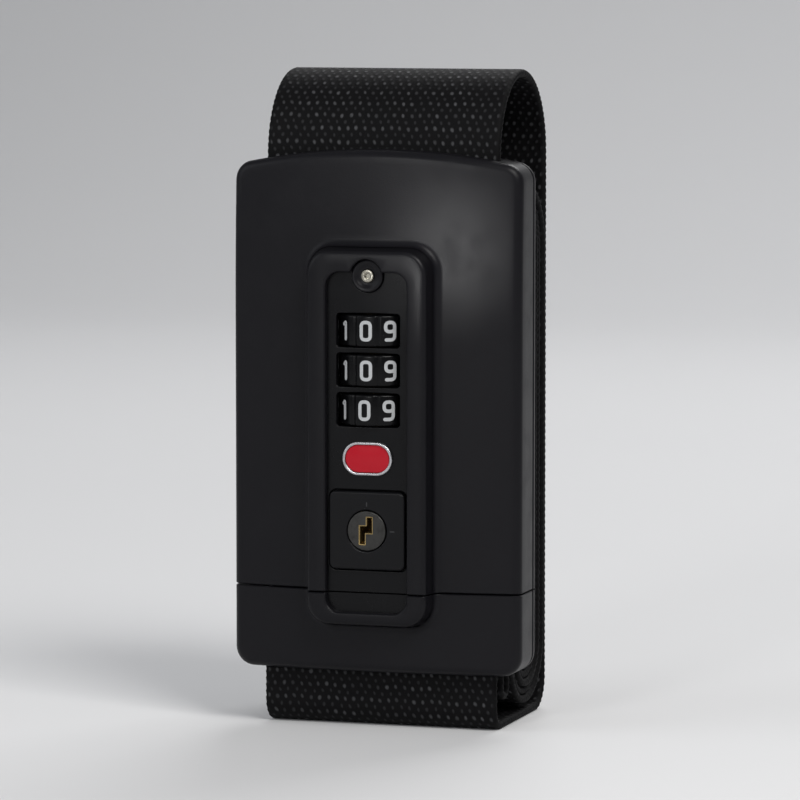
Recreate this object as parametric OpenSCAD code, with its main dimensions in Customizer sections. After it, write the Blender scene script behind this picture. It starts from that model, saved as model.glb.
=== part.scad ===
// Luggage strap with a side-opening buckle and a three-dial key lock, coiled for storage.
// The strap stands on the flat bottom bend of its webbing. +Z is up, the lock faces -Y.
// The origin is at the middle of the base.

/* [Webbing] */
// Width of the webbing
webbing_w = 50; // [38:1:60]
// Thickness of the webbing
webbing_t = 1.5; // [1.2:0.1:1.8]
// Laps of spare webbing wound behind the buckle
coil_laps = 7; // [4:1:9]
// Air between two laps
lap_gap = 0.25; // [0.2:0.05:0.4]
// Air left in the core of the winding
core_gap = 2.4; // [1:0.2:4]
// Air between the winding and what is beside it
coil_clearance = 0.3; // [0.2:0.1:0.6]
// Gap between the base and the bottom of the winding
coil_lift = 0.5; // [0.3:0.1:2]
// How far the winding ends below the buckle's top edge
coil_top_drop = 7.7; // [5:0.1:20]
// Mean radius of the rear bottom bend
rear_bend_r = 6; // [4:0.5:8]
// Mean radius of the front bottom bend
front_bend_r = 4; // [3:0.5:5]
// Height of the end of the tail's turn under the tongue
tail_turn_z = 8.5; // [8:0.1:9]

/* [Buckle] */
// Margin of the buckle beyond each edge of the webbing
side_margin = 6; // [5:0.5:10]
// Height of the tongue's bottom edge above the base
tongue_bottom_z = 12; // [11.5:0.1:15]
// Height of the tongue's visible part
tongue_h = 16.85; // [16:0.05:22]
// Gap of the seam between the tongue and the body
seam_gap = 0.3; // [0.2:0.1:0.5]
// Distance from the lock's top edge to the buckle's top edge
top_margin = 19.7; // [16.4:0.1:26]
// Wall of the mouldings
wall = 2; // [1.8:0.1:2.4]
// Thickness of the back covers
cover_t = 2; // [2:0.1:2.6]
// Fall of the crowned face from its middle to its edge
crown = 2.5; // [1:0.1:3]
// Fall of the top edge at a distance of 18 from the middle
top_fall = 1.1; // [0.4:0.1:1.5]
// Radius of the outer corners
corner_r = 4; // [2:0.5:6]
// Chamfer of the long front edges
edge_chamfer = 1.4; // [0.8:0.1:2]
// Travel of the body off the tongue
release_travel = 24; // [21:1:30]
// Radius of the steel webbing bars
bar_r = 1.5; // [1.2:0.1:1.7]

/* [Lock module] */
// Height of the raised frame above the middle of the face
rim_proud = 4.5; // [3.5:0.1:5]
// Wall of the frame's foot below the panel
foot_w = 2.9; // [2.6:0.05:4]
// Air on each side of the chassis in the back of the frame
chassis_gap = 1.25; // [0.6:0.05:2]
// Depth of the panel below the frame
panel_sink = 1.7; // [1.2:0.1:2]
// Thickness of the panel
panel_t = 1.4; // [1:0.1:1.8]
// Margin of the panel beside the button
panel_margin = 0.55; // [0.4:0.05:1]
// Outer corner radius of the frame
frame_corner_r = 5; // [3:0.5:6]
// Inner corner radius of the frame
window_corner_r = 3; // [2:0.5:4]
// Height of the frame's part on the tongue
module_foot = 8.85; // [7:0.05:10]

/* [Dials] */
// Radius of a dial
dial_r = 8.1; // [7.2:0.1:9.8]
// Width of a dial
dial_w = 6.4; // [5:0.1:6.6]
// Distance between two dials
dial_pitch = 8.15; // [8.1:0.05:10]
// Depth of a dial's front below the frame
dial_sink = 0.2; // [0.1:0.1:1]
// Radius of a dial's bore
dial_bore_r = 4.6; // [4:0.1:4.7]
// Radius of the spindle
spindle_r = 1.6; // [1.2:0.1:2]
// Air on each side of a dial in its window
window_gap = 0.6; // [0.4:0.1:1]
// Running clearance of the dials
dial_clearance = 0.4; // [0.3:0.1:0.6]

/* [Buttons and key] */
// Width of the square release button
button_w = 16.3; // [15:0.1:18]
// Height of the square release button
button_h = 16.1; // [15:0.1:18]
// Travel of the release button
button_travel = 2; // [1.5:0.1:2.2]
// Radius of the key plug
plug_r = 4.1; // [3.4:0.1:4.5]
// Radius of the reset pin's head
reset_r = 1.35; // [1:0.05:1.5]
// Travel of the reset pin
reset_travel = 1; // [0.6:0.1:1.5]
// Width of the badge
badge_w = 10.7; // [8:0.1:12]
// Height of the badge
badge_h = 6.9; // [5:0.1:7.5]

/* [Hidden] */
$fn = 96;
eps = 0.01;

// Clearances and small parts
fit = 0.1;
running_fit = 0.05;
press_fit = 0.02;
bar_fit = 0.1;
flange_lip = 2;
tail_gap = 0.15;
slot_gap = 0.3;

// Widths
buckle_w = webbing_w + 2 * side_margin;
half_w = buckle_w / 2;
panel_half_w = button_w / 2 + panel_margin;
chassis_t = 1.5;
chassis_half_w = dial_r + 0.5;
chassis_outer = chassis_half_w + chassis_t;
frame_half_w = chassis_outer + chassis_gap + wall;
rim_w = frame_half_w - panel_half_w;

// Depths, measured from the front of the frame to the back of the buckle
rim_depth = dial_sink + 2 * dial_r + dial_clearance + 1.2;
lap_pitch = webbing_t + lap_gap;
coil_depth = 2 * coil_laps * lap_pitch + core_gap;
total_depth = rim_depth + 2 * coil_clearance + coil_depth + webbing_t;
rim_y = -total_depth / 2;
back_y = rim_y + rim_depth;
split_y = back_y - cover_t;
face_y = rim_y + rim_proud;
panel_y = rim_y + panel_sink;
panel_back_y = panel_y + panel_t;
inner_y = face_y + wall;
crown_r = (half_w * half_w + crown * crown) / (2 * crown);
// Depth of the crowned face at x, drawn back by inset
function crown_y(x, inset) = face_y + crown_r - sqrt(pow(crown_r - inset, 2) - x * x);

// Heights
tongue_top_z = tongue_bottom_z + tongue_h;
body_z = tongue_top_z + seam_gap;
button_z = body_z + 12.75;
badge_z = button_z + button_h / 2 + badge_h / 2 + 3.3;
dial_z = [for (i = [0:2]) badge_z + badge_h / 2 + dial_w / 2 + 3.35 + (2 - i) * dial_pitch];
reset_z = dial_z[0] + dial_w / 2 + 8;
module_top_z = reset_z + 5.8;
window_top_z = module_top_z - rim_w - 0.35;
body_top_z = module_top_z + top_margin;
module_bottom_z = tongue_top_z - module_foot;

// Webbing route
wall_run_y = -rim_y - webbing_t / 2;
coil_front_y = back_y + coil_clearance;
coil_r = coil_depth / 2;
coil_z = webbing_t + coil_lift;
coil_top_z = body_top_z - coil_top_drop;
loop_r = bar_r + bar_fit;
upper_bar_y = crown_y(webbing_w / 2, wall) + 0.26 + loop_r + webbing_t;
upper_run_y = upper_bar_y + webbing_t / 2;
upper_bar_z = module_top_z + flange_lip + loop_r + webbing_t + 0.6;
bend_z = body_top_z - 1.7;
top_bend_r = (wall_run_y - upper_run_y) / 2;
webbing_split_z = coil_z + (coil_top_z - coil_z) / 2;
joint_gap = 0.4;
top_r = 18 * 18 / (2 * top_fall);
top_edge_fall = top_r - sqrt(pow(top_r - wall, 2) - pow(webbing_w / 2, 2)) - wall;
doubled_end_z = body_top_z - top_edge_fall - wall - 0.15;
lower_loop_r = bar_r + 0.15;
lower_bar_y = split_y - tail_gap - webbing_t - lower_loop_r;
lower_bar_z = tongue_bottom_z + 4.6;
lower_run_r = lower_loop_r + webbing_t / 2;
standing_y = lower_bar_y - lower_run_r;
tail_y = lower_bar_y + lower_run_r;
tail_end_y = coil_front_y + webbing_t / 2;

// Lock chassis, and the half width of a dial where it passes the back of the panel
dial_axis_y = rim_y + dial_sink + dial_r;
dial_chord = sqrt(dial_r * dial_r - pow(dial_axis_y - panel_back_y, 2));
window_w = 2 * (dial_chord + window_gap);
chassis_front_y = panel_back_y + fit;
chassis_back_y = split_y - 0.5;
chassis_z = body_z + 1;
chassis_top_z = window_top_z + rim_w - wall - 0.7;
top_plate_t = 1;
end_plate_z = [dial_z[2] - dial_pitch / 2 - 2.3, dial_z[0] + dial_w / 2 + 1.1];
flange_half_w = frame_half_w + 2.15;
flange_y = crown_y(flange_half_w, wall) + 0.17;
flange_t = 1.2;
post_x = frame_half_w - 0.15;
ear_y = flange_y + flange_t + 2.9;
ear_t = 1.2;
lock_screw_z = [button_z + button_h / 2 + 5, reset_z - 1.2];

// Catch, all behind the release button
flange_h = button_h + 2.9;
button_back_y = panel_back_y + 1.2;
barrel_r = plug_r + 0.9;
web_y = button_back_y + button_travel + 0.8;
web_t = 1;
barrel_back_y = web_y + 3.2;
plate_y = barrel_back_y + 1;
plate_t = 1.5;
leaf_t = 0.6;
fork_half_w = barrel_r + 0.6;
plate_half_w = fork_half_w + 1.9;
leaf_half_w = fork_half_w - 1.1;
keeper_z = body_z + 1.85;
keeper_h = 2.2;
tooth_z = keeper_z + keeper_h + 0.3;

// Tongue
core_z = lower_bar_z + lower_run_r + webbing_t / 2 + 0.65;
core_half_w = half_w - wall - edge_chamfer - 0.1;
core_y = [inner_y + crown - 0.1, split_y - 0.1];
prong_x = [chassis_outer + 3.1, half_w - 7.2];
prong_y = [back_y - 8.1, back_y - 4.1];
prong_h = 20;
prong_tip = 3;
guide_gap = 0.5;
guide_t = 1.2;

// Screws
screw_x = half_w - 4.5;
screw_r = 1;
pilot_r = screw_r + press_fit;
boss_r = 2.4;
head_r = 2.2;
head_t = 1;
back_screw_z = [body_z + 26.5, reset_z + 2.8];
tongue_screw_z = core_z + 4.2;

// A flat drawing extruded along one axis. The drawing is XY for Z, XZ for Y and YZ for X.
module along_z(z0, z1) translate([0, 0, z0]) linear_extrude(z1 - z0) children();
module along_y(y0, y1) translate([0, y1, 0]) rotate([90, 0, 0]) linear_extrude(y1 - y0) children();
module along_x(x0, x1) translate([x0, 0, 0]) rotate([90, 0, 90]) linear_extrude(x1 - x0) children();

// A round bar along Y
module bar_y(x, z, y0, y1, r) translate([x, y1, z]) rotate([90, 0, 0]) cylinder(r = r, h = y1 - y0);
module bar_x(y, z, x0, x1, r) translate([x0, y, z]) rotate([0, 90, 0]) cylinder(r = r, h = x1 - x0);

module both_sides() {
    children();
    mirror([1, 0, 0]) children();
}

// A box between two opposite corners
module block(a, b) translate(a) cube(b - a);

// A flat rectangle between corners a and b, with a radius for each corner from the lower left
module soft_rect(a, b, r) {
    corner = [a, [b[0], a[1]], b, [a[0], b[1]]];
    inward = [[1, 1], [-1, 1], [-1, -1], [1, -1]];
    difference() {
        translate(a) square(b - a);
        for (i = [0:3]) if (r[i] > 0) difference() {
            reach = r[i] + eps;
            translate(corner[i] - [eps, eps])
                translate([inward[i][0] > 0 ? 0 : -r[i], inward[i][1] > 0 ? 0 : -r[i]])
                    square([reach + eps, reach + eps]);
            translate(corner[i] + inward[i] * r[i]) circle(r = r[i]);
        }
    }
}

// A flat ring, or the half of it on one side of its centre
module ring(c, r0, r1) translate(c) difference() {
    circle(r = r1);
    circle(r = r0);
}

// Plan of the buckle with its crowned face, drawn back by inset
module crowned_plan(inset) intersection() {
    side = half_w - inset;
    bevel = edge_chamfer + crown + 1;
    translate([0, face_y + crown_r]) circle(r = crown_r - inset, $fn = 720);
    polygon([[-side, back_y + 1], [-side, face_y + inset + crown + edge_chamfer],
        [bevel - side, face_y + inset - 1], [side - bevel, face_y + inset - 1],
        [side, face_y + inset + crown + edge_chamfer], [side, back_y + 1]]);
}

// Points of an arc about c, from angle a0 to a1
function arc(c, r, a0, a1, steps) =
    [for (i = [0:steps]) let (a = a0 + (a1 - a0) * i / steps) c + r * [cos(a), sin(a)]];

// Front view of the buckle's body with its arched top edge, drawn back by inset
module body_outline(inset, below = 0) {
    side = half_w - inset;
    top_c = [0, body_top_z - top_r];
    lean = asin((half_w - corner_r) / (top_r - corner_r));
    corner = top_c + (top_r - corner_r) * [sin(lean), cos(lean)];
    r = max(corner_r - inset, 0.5);
    polygon(concat([[-side, body_z - below], [side, body_z - below]],
        arc([side - r, corner[1]], r, 0, 90 - lean, 8),
        arc(top_c, top_r - inset, 90 - lean, 90 + lean, 24),
        arc([r - side, corner[1]], r, 90 + lean, 180, 8)));
}

// Front view of the tongue with its rounded lower corners
module tongue_outline() polygon(concat([[half_w, tongue_top_z], [-half_w, tongue_top_z]],
    arc([corner_r - half_w, tongue_bottom_z + corner_r], corner_r, 180, 270, 8),
    arc([half_w - corner_r, tongue_bottom_z + corner_r], corner_r, 270, 360, 8)));

// Front view of the raised lock frame, cut off at two heights
module frame_outline(half_width, bottom, top, r, z0, z1) intersection() {
    soft_rect([-half_width, bottom], [half_width, top], [r, r, r, r]);
    translate([-half_width, z0]) square([2 * half_width, z1 - z0]);
}

// Hole for the lock frame in a moulding's crowned face: open at one end, with two round corners
module aperture(open_z, end_z) {
    way = sign(end_z - open_z);
    side = frame_half_w + fit;
    r = frame_corner_r + fit;
    centre = end_z - way * r;
    polygon(concat([[-side, open_z], [side, open_z]],
        arc([side - r, centre], r, 0, way * 90, 8), arc([r - side, centre], r, way * 90, way * 180, 8)));
}

// The part of the lock frame that stands out of a moulding, with the seat of the panel
module bezel(z0, z1) {
    outline_h = [module_bottom_z, module_top_z];
    module outer(grow) frame_outline(frame_half_w + grow, outline_h[0] - grow,
        outline_h[1] + grow, frame_corner_r + grow, z0, z1);
    module window(side, foot) frame_outline(panel_half_w + side, module_bottom_z + foot_w - foot,
        window_top_z + side, window_corner_r, z0 - 1, z1 + 1);
    difference() {
        union() {
            along_y(rim_y, flange_y + eps) outer(0);
            along_y(flange_y, flange_y + flange_t)
                soft_rect([-flange_half_w, max(z0, module_bottom_z - flange_lip)],
                    [flange_half_w, min(z1, module_top_z + flange_lip)], [0, 0, 0, 0]);
        }
        along_y(rim_y - 1, flange_y + flange_t + 1) window(0, 0);
        along_y(panel_y, flange_y + flange_t + 1) window(rim_w - wall, foot_w - wall);
    }
}

module front_shell() color([0.09, 0.09, 0.1]) difference() {
    union() {
        difference() {
            intersection() {
                along_z(body_z - 1, body_top_z + 1) crowned_plan(0);
                along_y(face_y - 1, split_y) body_outline(0);
            }
            intersection() {
                along_z(body_z - 2, body_top_z) crowned_plan(wall);
                along_y(face_y, back_y) body_outline(wall, 1);
            }
        }
        both_sides() {
            for (z = back_screw_z) bar_y(screw_x, z, inner_y + 0.8, split_y, boss_r);
            block([webbing_w / 2 + 1, inner_y + crown - 1, upper_bar_z - 3],
                [half_w - wall / 2, split_y, upper_bar_z + 3]);
        }
    }
    along_y(face_y - 1, flange_y + 1) aperture(body_z - 1, module_top_z + fit);
    block([-webbing_w / 2 - slot_gap, upper_run_y - webbing_t / 2 - slot_gap, bend_z - 6],
        [webbing_w / 2 + slot_gap, upper_run_y + webbing_t / 2 + slot_gap, body_top_z + 1]);
    bar_x(upper_bar_y, upper_bar_z, wall / 2 - half_w, half_w - wall / 2, bar_r + running_fit);
    both_sides() for (z = back_screw_z)
        bar_y(screw_x, z, inner_y + crown, split_y + 1, pilot_r);
}

module screw_holes(x, z) {
    bar_y(x, z, split_y - 1, back_y + 1, screw_r + 0.2);
    bar_y(x, z, back_y - head_t - 0.2, back_y + 1, head_r + 0.2);
}

module back_shell() color([0.08, 0.08, 0.09]) difference() {
    union() {
        along_y(split_y, back_y) body_outline(0);
        both_sides() {
            for (x = [prong_x[0] - guide_gap - guide_t, prong_x[1] + guide_gap])
                block([x, prong_y[0], body_z + 2], [x + guide_t, split_y + eps, body_z + 23]);
        }
        for (z = [lock_screw_z[0] - 1, reset_z - 2])
            block([-8, chassis_back_y, z], [8, split_y + eps, z + 2]);
    }
    block([-dial_r - 0.5, split_y - 1, end_plate_z[0] + chassis_t + fit],
        [dial_r + 0.5, back_y - 1.2, end_plate_z[1] - fit]);
    both_sides() for (z = back_screw_z) screw_holes(screw_x, z);
}

// A cross-head screw from the back, with its tip at y
module back_screw(x, z, tip_y) difference() {
    union() {
        bar_y(x, z, tip_y, back_y - head_t, screw_r);
        bar_y(x, z, back_y - head_t - 0.2, back_y - 0.2, head_r);
    }
    for (s = [[1.3, 0.25], [0.25, 1.3]])
        block([x - s[0], back_y - 0.9, z - s[1]], [x + s[0], back_y, z + s[1]]);
}

module back_screws() color("silver") both_sides() for (z = back_screw_z)
    back_screw(screw_x, z, inner_y + crown + 0.6);

module upper_webbing_bar() color("silver")
    bar_x(upper_bar_y, upper_bar_z, wall / 2 - half_w + fit, half_w - wall / 2 - fit, bar_r);

module lock_bezel() color([0.13, 0.13, 0.14]) difference() {
    union() {
        bezel(body_z, module_top_z + 5);
        bar_y(0, reset_z, panel_y - 0.6, panel_back_y, reset_r + 2);
        both_sides() for (z = lock_screw_z) bar_y(post_x, z, flange_y, ear_y, 1.9);
    }
    bar_y(0, reset_z, rim_y - 1, panel_back_y + 1, reset_r + running_fit);
    // Dish around the pin
    translate([0, panel_y - 0.6, reset_z]) rotate([-90, 0, 0]) translate([0, 0, -1.3])
        cylinder(r1 = reset_r + 3.2, r2 = reset_r + 0.3, h = 1.9);
    both_sides() for (z = lock_screw_z) bar_y(post_x, z, flange_y + 0.4, ear_y + 1, pilot_r);
}

module lock_panel() color([0.07, 0.07, 0.08]) difference() {
    along_y(panel_y, panel_back_y) frame_outline(panel_half_w + rim_w - wall - fit,
        body_z, window_top_z + rim_w - wall - fit, window_corner_r, body_z, module_top_z);
    for (z = dial_z) along_y(panel_y - 1, panel_back_y + 1)
        soft_rect([-window_w / 2, z - dial_w / 2 - 0.3], [window_w / 2, z + dial_w / 2 + 0.3],
            [0.6, 0.6, 0.6, 0.6]);
    along_y(panel_y - 1, panel_back_y + 1) soft_rect(
        [-button_w / 2 - 0.3, button_z - button_h / 2 - 0.3],
        [button_w / 2 + 0.3, button_z + button_h / 2 + 0.3], [1.6, 1.6, 1.6, 1.6]);
    bar_y(0, reset_z, panel_y - 1, panel_back_y + 1, reset_r + 2.1);
}

module lock_chassis() color([0.55, 0.55, 0.58]) difference() {
    union() {
        both_sides() {
            block([chassis_half_w, chassis_front_y, chassis_z],
                [chassis_outer, chassis_back_y, chassis_top_z]);
            for (z = lock_screw_z) block([chassis_outer - eps, ear_y, z - 2.2],
                [post_x + 2, ear_y + ear_t, z + 2.2]);
        }
        // Floor behind the catch, and behind the reset pin
        for (z = [[chassis_z, end_plate_z[0] + chassis_t], [end_plate_z[1], chassis_top_z]])
            block([-chassis_half_w - eps, chassis_back_y - chassis_t, z[0]],
                [chassis_half_w + eps, chassis_back_y, z[1]]);
        // Spindle plates and the closed top
        for (z = end_plate_z) block([-chassis_half_w - eps, chassis_front_y, z],
            [chassis_half_w + eps, chassis_back_y, z + chassis_t]);
        block([-chassis_half_w - eps, panel_back_y + reset_travel + 1.2, chassis_top_z - top_plate_t],
            [chassis_half_w + eps, chassis_back_y, chassis_top_z]);
        // Guide web of the barrel
        block([-chassis_half_w - eps, web_y, tooth_z + 0.3],
            [chassis_half_w + eps, web_y + web_t, button_z + flange_h / 2]);
        // Keeper bar that the catch hooks over
        block([-chassis_half_w - eps, web_y + 0.2, keeper_z],
            [chassis_half_w + eps, plate_y - leaf_t - 0.5, keeper_z + keeper_h]);
        // Guide web of the reset pin
        block([-chassis_half_w - eps, dial_axis_y + 1.2, end_plate_z[1] + chassis_t - eps],
            [chassis_half_w + eps, dial_axis_y + 2.2, chassis_top_z - top_plate_t + eps]);
    }
    bar_y(0, button_z, web_y - 1, web_y + web_t + eps, barrel_r + fit);
    bar_y(0, reset_z, dial_axis_y, dial_axis_y + 3, 1 + running_fit);
    translate([0, dial_axis_y, end_plate_z[0] - eps])
        cylinder(r = spindle_r + press_fit, h = end_plate_z[1] - end_plate_z[0] + 2 * chassis_t);
    // Slot of the fence bar
    block([chassis_half_w - 1, dial_axis_y - 1.8, end_plate_z[0] - 1.4],
        [chassis_outer + 1, dial_axis_y + 1.8, end_plate_z[1] + 2.9]);
    both_sides() for (z = lock_screw_z) bar_y(post_x, z, ear_y - 1, ear_y + 2, screw_r + 0.1);
}

module lock_screws() color("silver") both_sides() for (z = lock_screw_z) difference() {
    union() {
        bar_y(post_x, z, flange_y + 0.9, ear_y + ear_t, screw_r);
        bar_y(post_x, z, ear_y + ear_t, ear_y + ear_t + 0.9, 1.8);
    }
    block([post_x - 1.2, ear_y + ear_t + 0.5, z - 0.25], [post_x + 1.2, ear_y + 3, z + 0.25]);
}

module dial(z) color([0.05, 0.05, 0.05]) translate([0, dial_axis_y, z]) difference() {
    translate([0, 0, -dial_w / 2]) cylinder(r = dial_r, h = dial_w);
    translate([0, 0, -dial_w / 2 - 1]) cylinder(r = dial_bore_r, h = dial_w + 2);
    // Grip grooves between the ten numbers
    for (i = [0:9]) rotate([0, 0, 36 * i]) translate([dial_r + 0.3, 0, -dial_w / 2 - 1])
        cylinder(r = 0.6, h = dial_w + 2);
    // Keyway of the hub
    block([-dial_bore_r - 0.7, -0.8, -dial_w / 2 - 1], [0, 0.8, dial_w / 2 + 1]);
}

module dial_1() dial(dial_z[0]);
module dial_2() dial(dial_z[1]);
module dial_3() dial(dial_z[2]);

module dial_hub(z) color([0.75, 0.65, 0.4]) translate([0, dial_axis_y, z]) {
    sleeve_r = dial_bore_r - fit;
    flange_r = sleeve_r + 0.5;
    flange_z = -dial_pitch / 2 - 0.5;
    difference() {
        union() {
            translate([0, 0, flange_z]) cylinder(r = sleeve_r, h = dial_pitch - 0.2);
            translate([0, 0, flange_z]) cylinder(r = flange_r, h = 1);
            block([-dial_bore_r - 0.5, -0.7, flange_z + 1], [-2, 0.7, dial_w / 2]);
        }
        translate([0, 0, flange_z - 1]) cylinder(r = spindle_r + running_fit, h = dial_pitch + 2);
        // Gate that faces the fence bar when the dial shows its own number
        block([flange_r - 1.6, -1.1, flange_z - 1], [flange_r + 1, 1.1, flange_z + 1 + eps]);
    }
}

module dial_hub_1() dial_hub(dial_z[0]);
module dial_hub_2() dial_hub(dial_z[1]);
module dial_hub_3() dial_hub(dial_z[2]);

module dial_spindle() color("silver") translate([0, dial_axis_y, end_plate_z[0] + 0.1])
    cylinder(r = spindle_r, h = end_plate_z[1] - end_plate_z[0] + chassis_t - 0.2);

module detent_spring() color("gold") difference() {
    block([fit - chassis_half_w, dial_axis_y - 1.8, end_plate_z[0] + chassis_t + fit],
        [0.3 - chassis_half_w, dial_axis_y + 1.8, end_plate_z[1] - fit]);
    // Slits that part the three fingers
    for (i = [0:1]) block(
        [-chassis_half_w - 1, dial_axis_y - 0.8, (dial_z[i] + dial_z[i + 1]) / 2 - 0.3],
        [1 - chassis_half_w, dial_axis_y + 3, (dial_z[i] + dial_z[i + 1]) / 2 + 0.3]);
}

module fence_bar() color([0.6, 0.6, 0.62]) {
    block([chassis_half_w + 0.15, dial_axis_y - 1.7, end_plate_z[0] - 1.3],
        [chassis_outer - 0.15, dial_axis_y + 1.7, end_plate_z[1] + 2.8]);
    for (z = dial_z) block([dial_bore_r + 0.75, dial_axis_y - 0.8, z - dial_pitch / 2 - 0.5],
        [chassis_half_w + 0.15 + eps, dial_axis_y + 0.8, z - dial_pitch / 2 + 0.5]);
}

module reset_pin() color([0.7, 0.6, 0.35]) difference() {
    union() {
        bar_y(0, reset_z, panel_y - 0.5, panel_back_y + 0.2, reset_r);
        bar_y(0, reset_z, panel_back_y + 0.1, panel_back_y + 0.9, reset_r + 0.5);
        bar_y(0, reset_z, panel_back_y + 0.9 - eps, dial_axis_y + 3.6, 1);
    }
    bar_y(0, reset_z, panel_y - 1, panel_y + 0.3, 0.6);
}

// Wire spring along Y between two planes, as a swept eight-sided wire
module wire_spring(x, z, y0, y1, coil, wire, turns) {
    steps = turns * 20;
    sides = 8;
    rise = y1 - y0 - 2 * wire;
    points = [for (i = [0:steps]) let (a = 360 * turns * i / steps) for (j = [0:sides - 1])
        let (b = 360 * j / sides, r = coil + wire * cos(b))
            [x + r * cos(a), y0 + wire + rise * i / steps + wire * sin(b), z + r * sin(a)]];
    faces = concat(
        [for (i = [0:steps - 1]) for (j = [0:sides - 1]) let (k = (j + 1) % sides)
            [i * sides + j, i * sides + k, (i + 1) * sides + k, (i + 1) * sides + j]],
        [[for (j = [sides - 1:-1:0]) j], [for (j = [0:sides - 1]) steps * sides + j]]);
    polyhedron(points, faces, convexity = 6);
}

module reset_spring() color("silver")
    wire_spring(0, reset_z, panel_back_y + 1, dial_axis_y + 1.1, 1.45, 0.2, 5);

module badge_rim() color("silver") along_y(panel_y - 0.7, panel_y) difference() {
    badge_outline(0);
    badge_outline(0.6);
}

// Plain rounded badge
module badge_outline(inset) {
    r = badge_h / 2 - inset - eps;
    soft_rect([inset - badge_w / 2, badge_z - badge_h / 2 + inset],
        [badge_w / 2 - inset, badge_z + badge_h / 2 - inset], [r, r, r, r]);
}

module badge_enamel() color([0.75, 0.05, 0.1]) along_y(panel_y - 0.5, panel_y)
    badge_outline(0.6 + press_fit);

module release_button() color([0.08, 0.08, 0.09]) difference() {
    union() {
        along_y(panel_y - 1, panel_back_y + 0.2) soft_rect(
            [-button_w / 2, button_z - button_h / 2], [button_w / 2, button_z + button_h / 2],
            [1.4, 1.4, 1.4, 1.4]);
        along_y(panel_back_y + 0.1, button_back_y) soft_rect(
            [0.1 - chassis_half_w, button_z - flange_h / 2],
            [chassis_half_w - 0.1, button_z + flange_h / 2], [1, 1, 1, 1]);
    }
    bar_y(0, button_z, panel_y - 2, button_back_y + 1, plug_r + 0.08);
    // Seat of the barrel
    bar_y(0, button_z, panel_back_y, button_back_y + 1, barrel_r + press_fit);
}

module button_spring() color("silver")
    wire_spring(0, button_z, button_back_y + fit, web_y - fit, barrel_r + 0.7, 0.3, 2);

module key_barrel() color([0.72, 0.62, 0.38]) difference() {
    bar_y(0, button_z, panel_back_y + fit, barrel_back_y, barrel_r);
    bar_y(0, button_z, panel_back_y - 1, barrel_back_y + 1, plug_r + 0.08);
}

// Stepped keyway, drawn around the plug's axis
module keyway() {
    translate([0.1, -0.4]) square([1, 3.1]);
    translate([-1.4, -2.7]) square([1, 3.6]);
    translate([-1.4, -0.4]) square([2.5, 1.3]);
}

// Wafers: their places, their half height and the half width that the plug leaves them
wafer_y = [for (i = [0:3]) panel_y + 1.4 + 1.3 * i];
wafer_reach = plug_r - 0.9;
wafer_half_w = sqrt(plug_r * plug_r - pow(wafer_reach + fit, 2));

module key_plug() color([0.1, 0.1, 0.11]) difference() {
    bar_y(0, button_z, panel_y - 1.1, barrel_back_y - 0.6, plug_r);
    translate([0, 0, button_z]) along_y(panel_y - 2, barrel_back_y - 2.2) keyway();
    for (y = wafer_y) block([-wafer_half_w - fit, y - 0.35, button_z - plug_r],
        [wafer_half_w + fit, y + 0.35, button_z + plug_r]);
}

module plug_wafers() color([0.8, 0.65, 0.3]) for (y = wafer_y) difference() {
    block([-wafer_half_w, y - 0.25, button_z - wafer_reach],
        [wafer_half_w, y + 0.25, button_z + wafer_reach]);
    block([-1.6, y - 1, button_z - wafer_reach + 0.7], [1.3, y + 1, button_z + wafer_reach - 0.7]);
}

module key_cam() color([0.72, 0.62, 0.38]) difference() {
    bar_y(0, button_z, barrel_back_y - 0.6, barrel_back_y - 0.1, plug_r - 0.4);
    block([-plug_r, barrel_back_y - 1, button_z + 1.6], [plug_r, barrel_back_y, button_z + plug_r]);
}

module tongue_front() color([0.09, 0.09, 0.1]) difference() {
    intersection() {
        along_z(tongue_bottom_z - 1, tongue_top_z + 1) crowned_plan(0);
        along_y(face_y - 1, split_y) tongue_outline();
    }
    intersection() {
        along_z(tongue_bottom_z + wall, tongue_top_z + 1) crowned_plan(wall);
        block([-half_w, face_y, tongue_bottom_z + wall],
            [half_w, back_y, tongue_top_z + 2]);
    }
    along_y(face_y - 1, flange_y + 1) aperture(tongue_top_z + 1, module_bottom_z - fit);
    // Mouth for the standing part and the tail of the webbing
    block([-webbing_w / 2 - slot_gap, standing_y - webbing_t / 2 - slot_gap, tongue_bottom_z - 1],
        [webbing_w / 2 + slot_gap, split_y + 1, tongue_bottom_z + wall + 1]);
    both_sides() bar_y(screw_x, tongue_screw_z, core_y[0] - 1.4, core_y[0] + 2, pilot_r);
}

module tongue_bezel() color([0.13, 0.13, 0.14]) {
    bezel(module_bottom_z, tongue_top_z);
    along_y(panel_y, panel_back_y) frame_outline(panel_half_w + rim_w - wall - fit,
        module_bottom_z + wall + fit, module_top_z, window_corner_r,
        module_bottom_z, tongue_top_z);
}

module tongue_back() color([0.08, 0.08, 0.09]) difference() {
    along_y(split_y, back_y) tongue_outline();
    both_sides() screw_holes(screw_x, tongue_screw_z);
}

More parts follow.
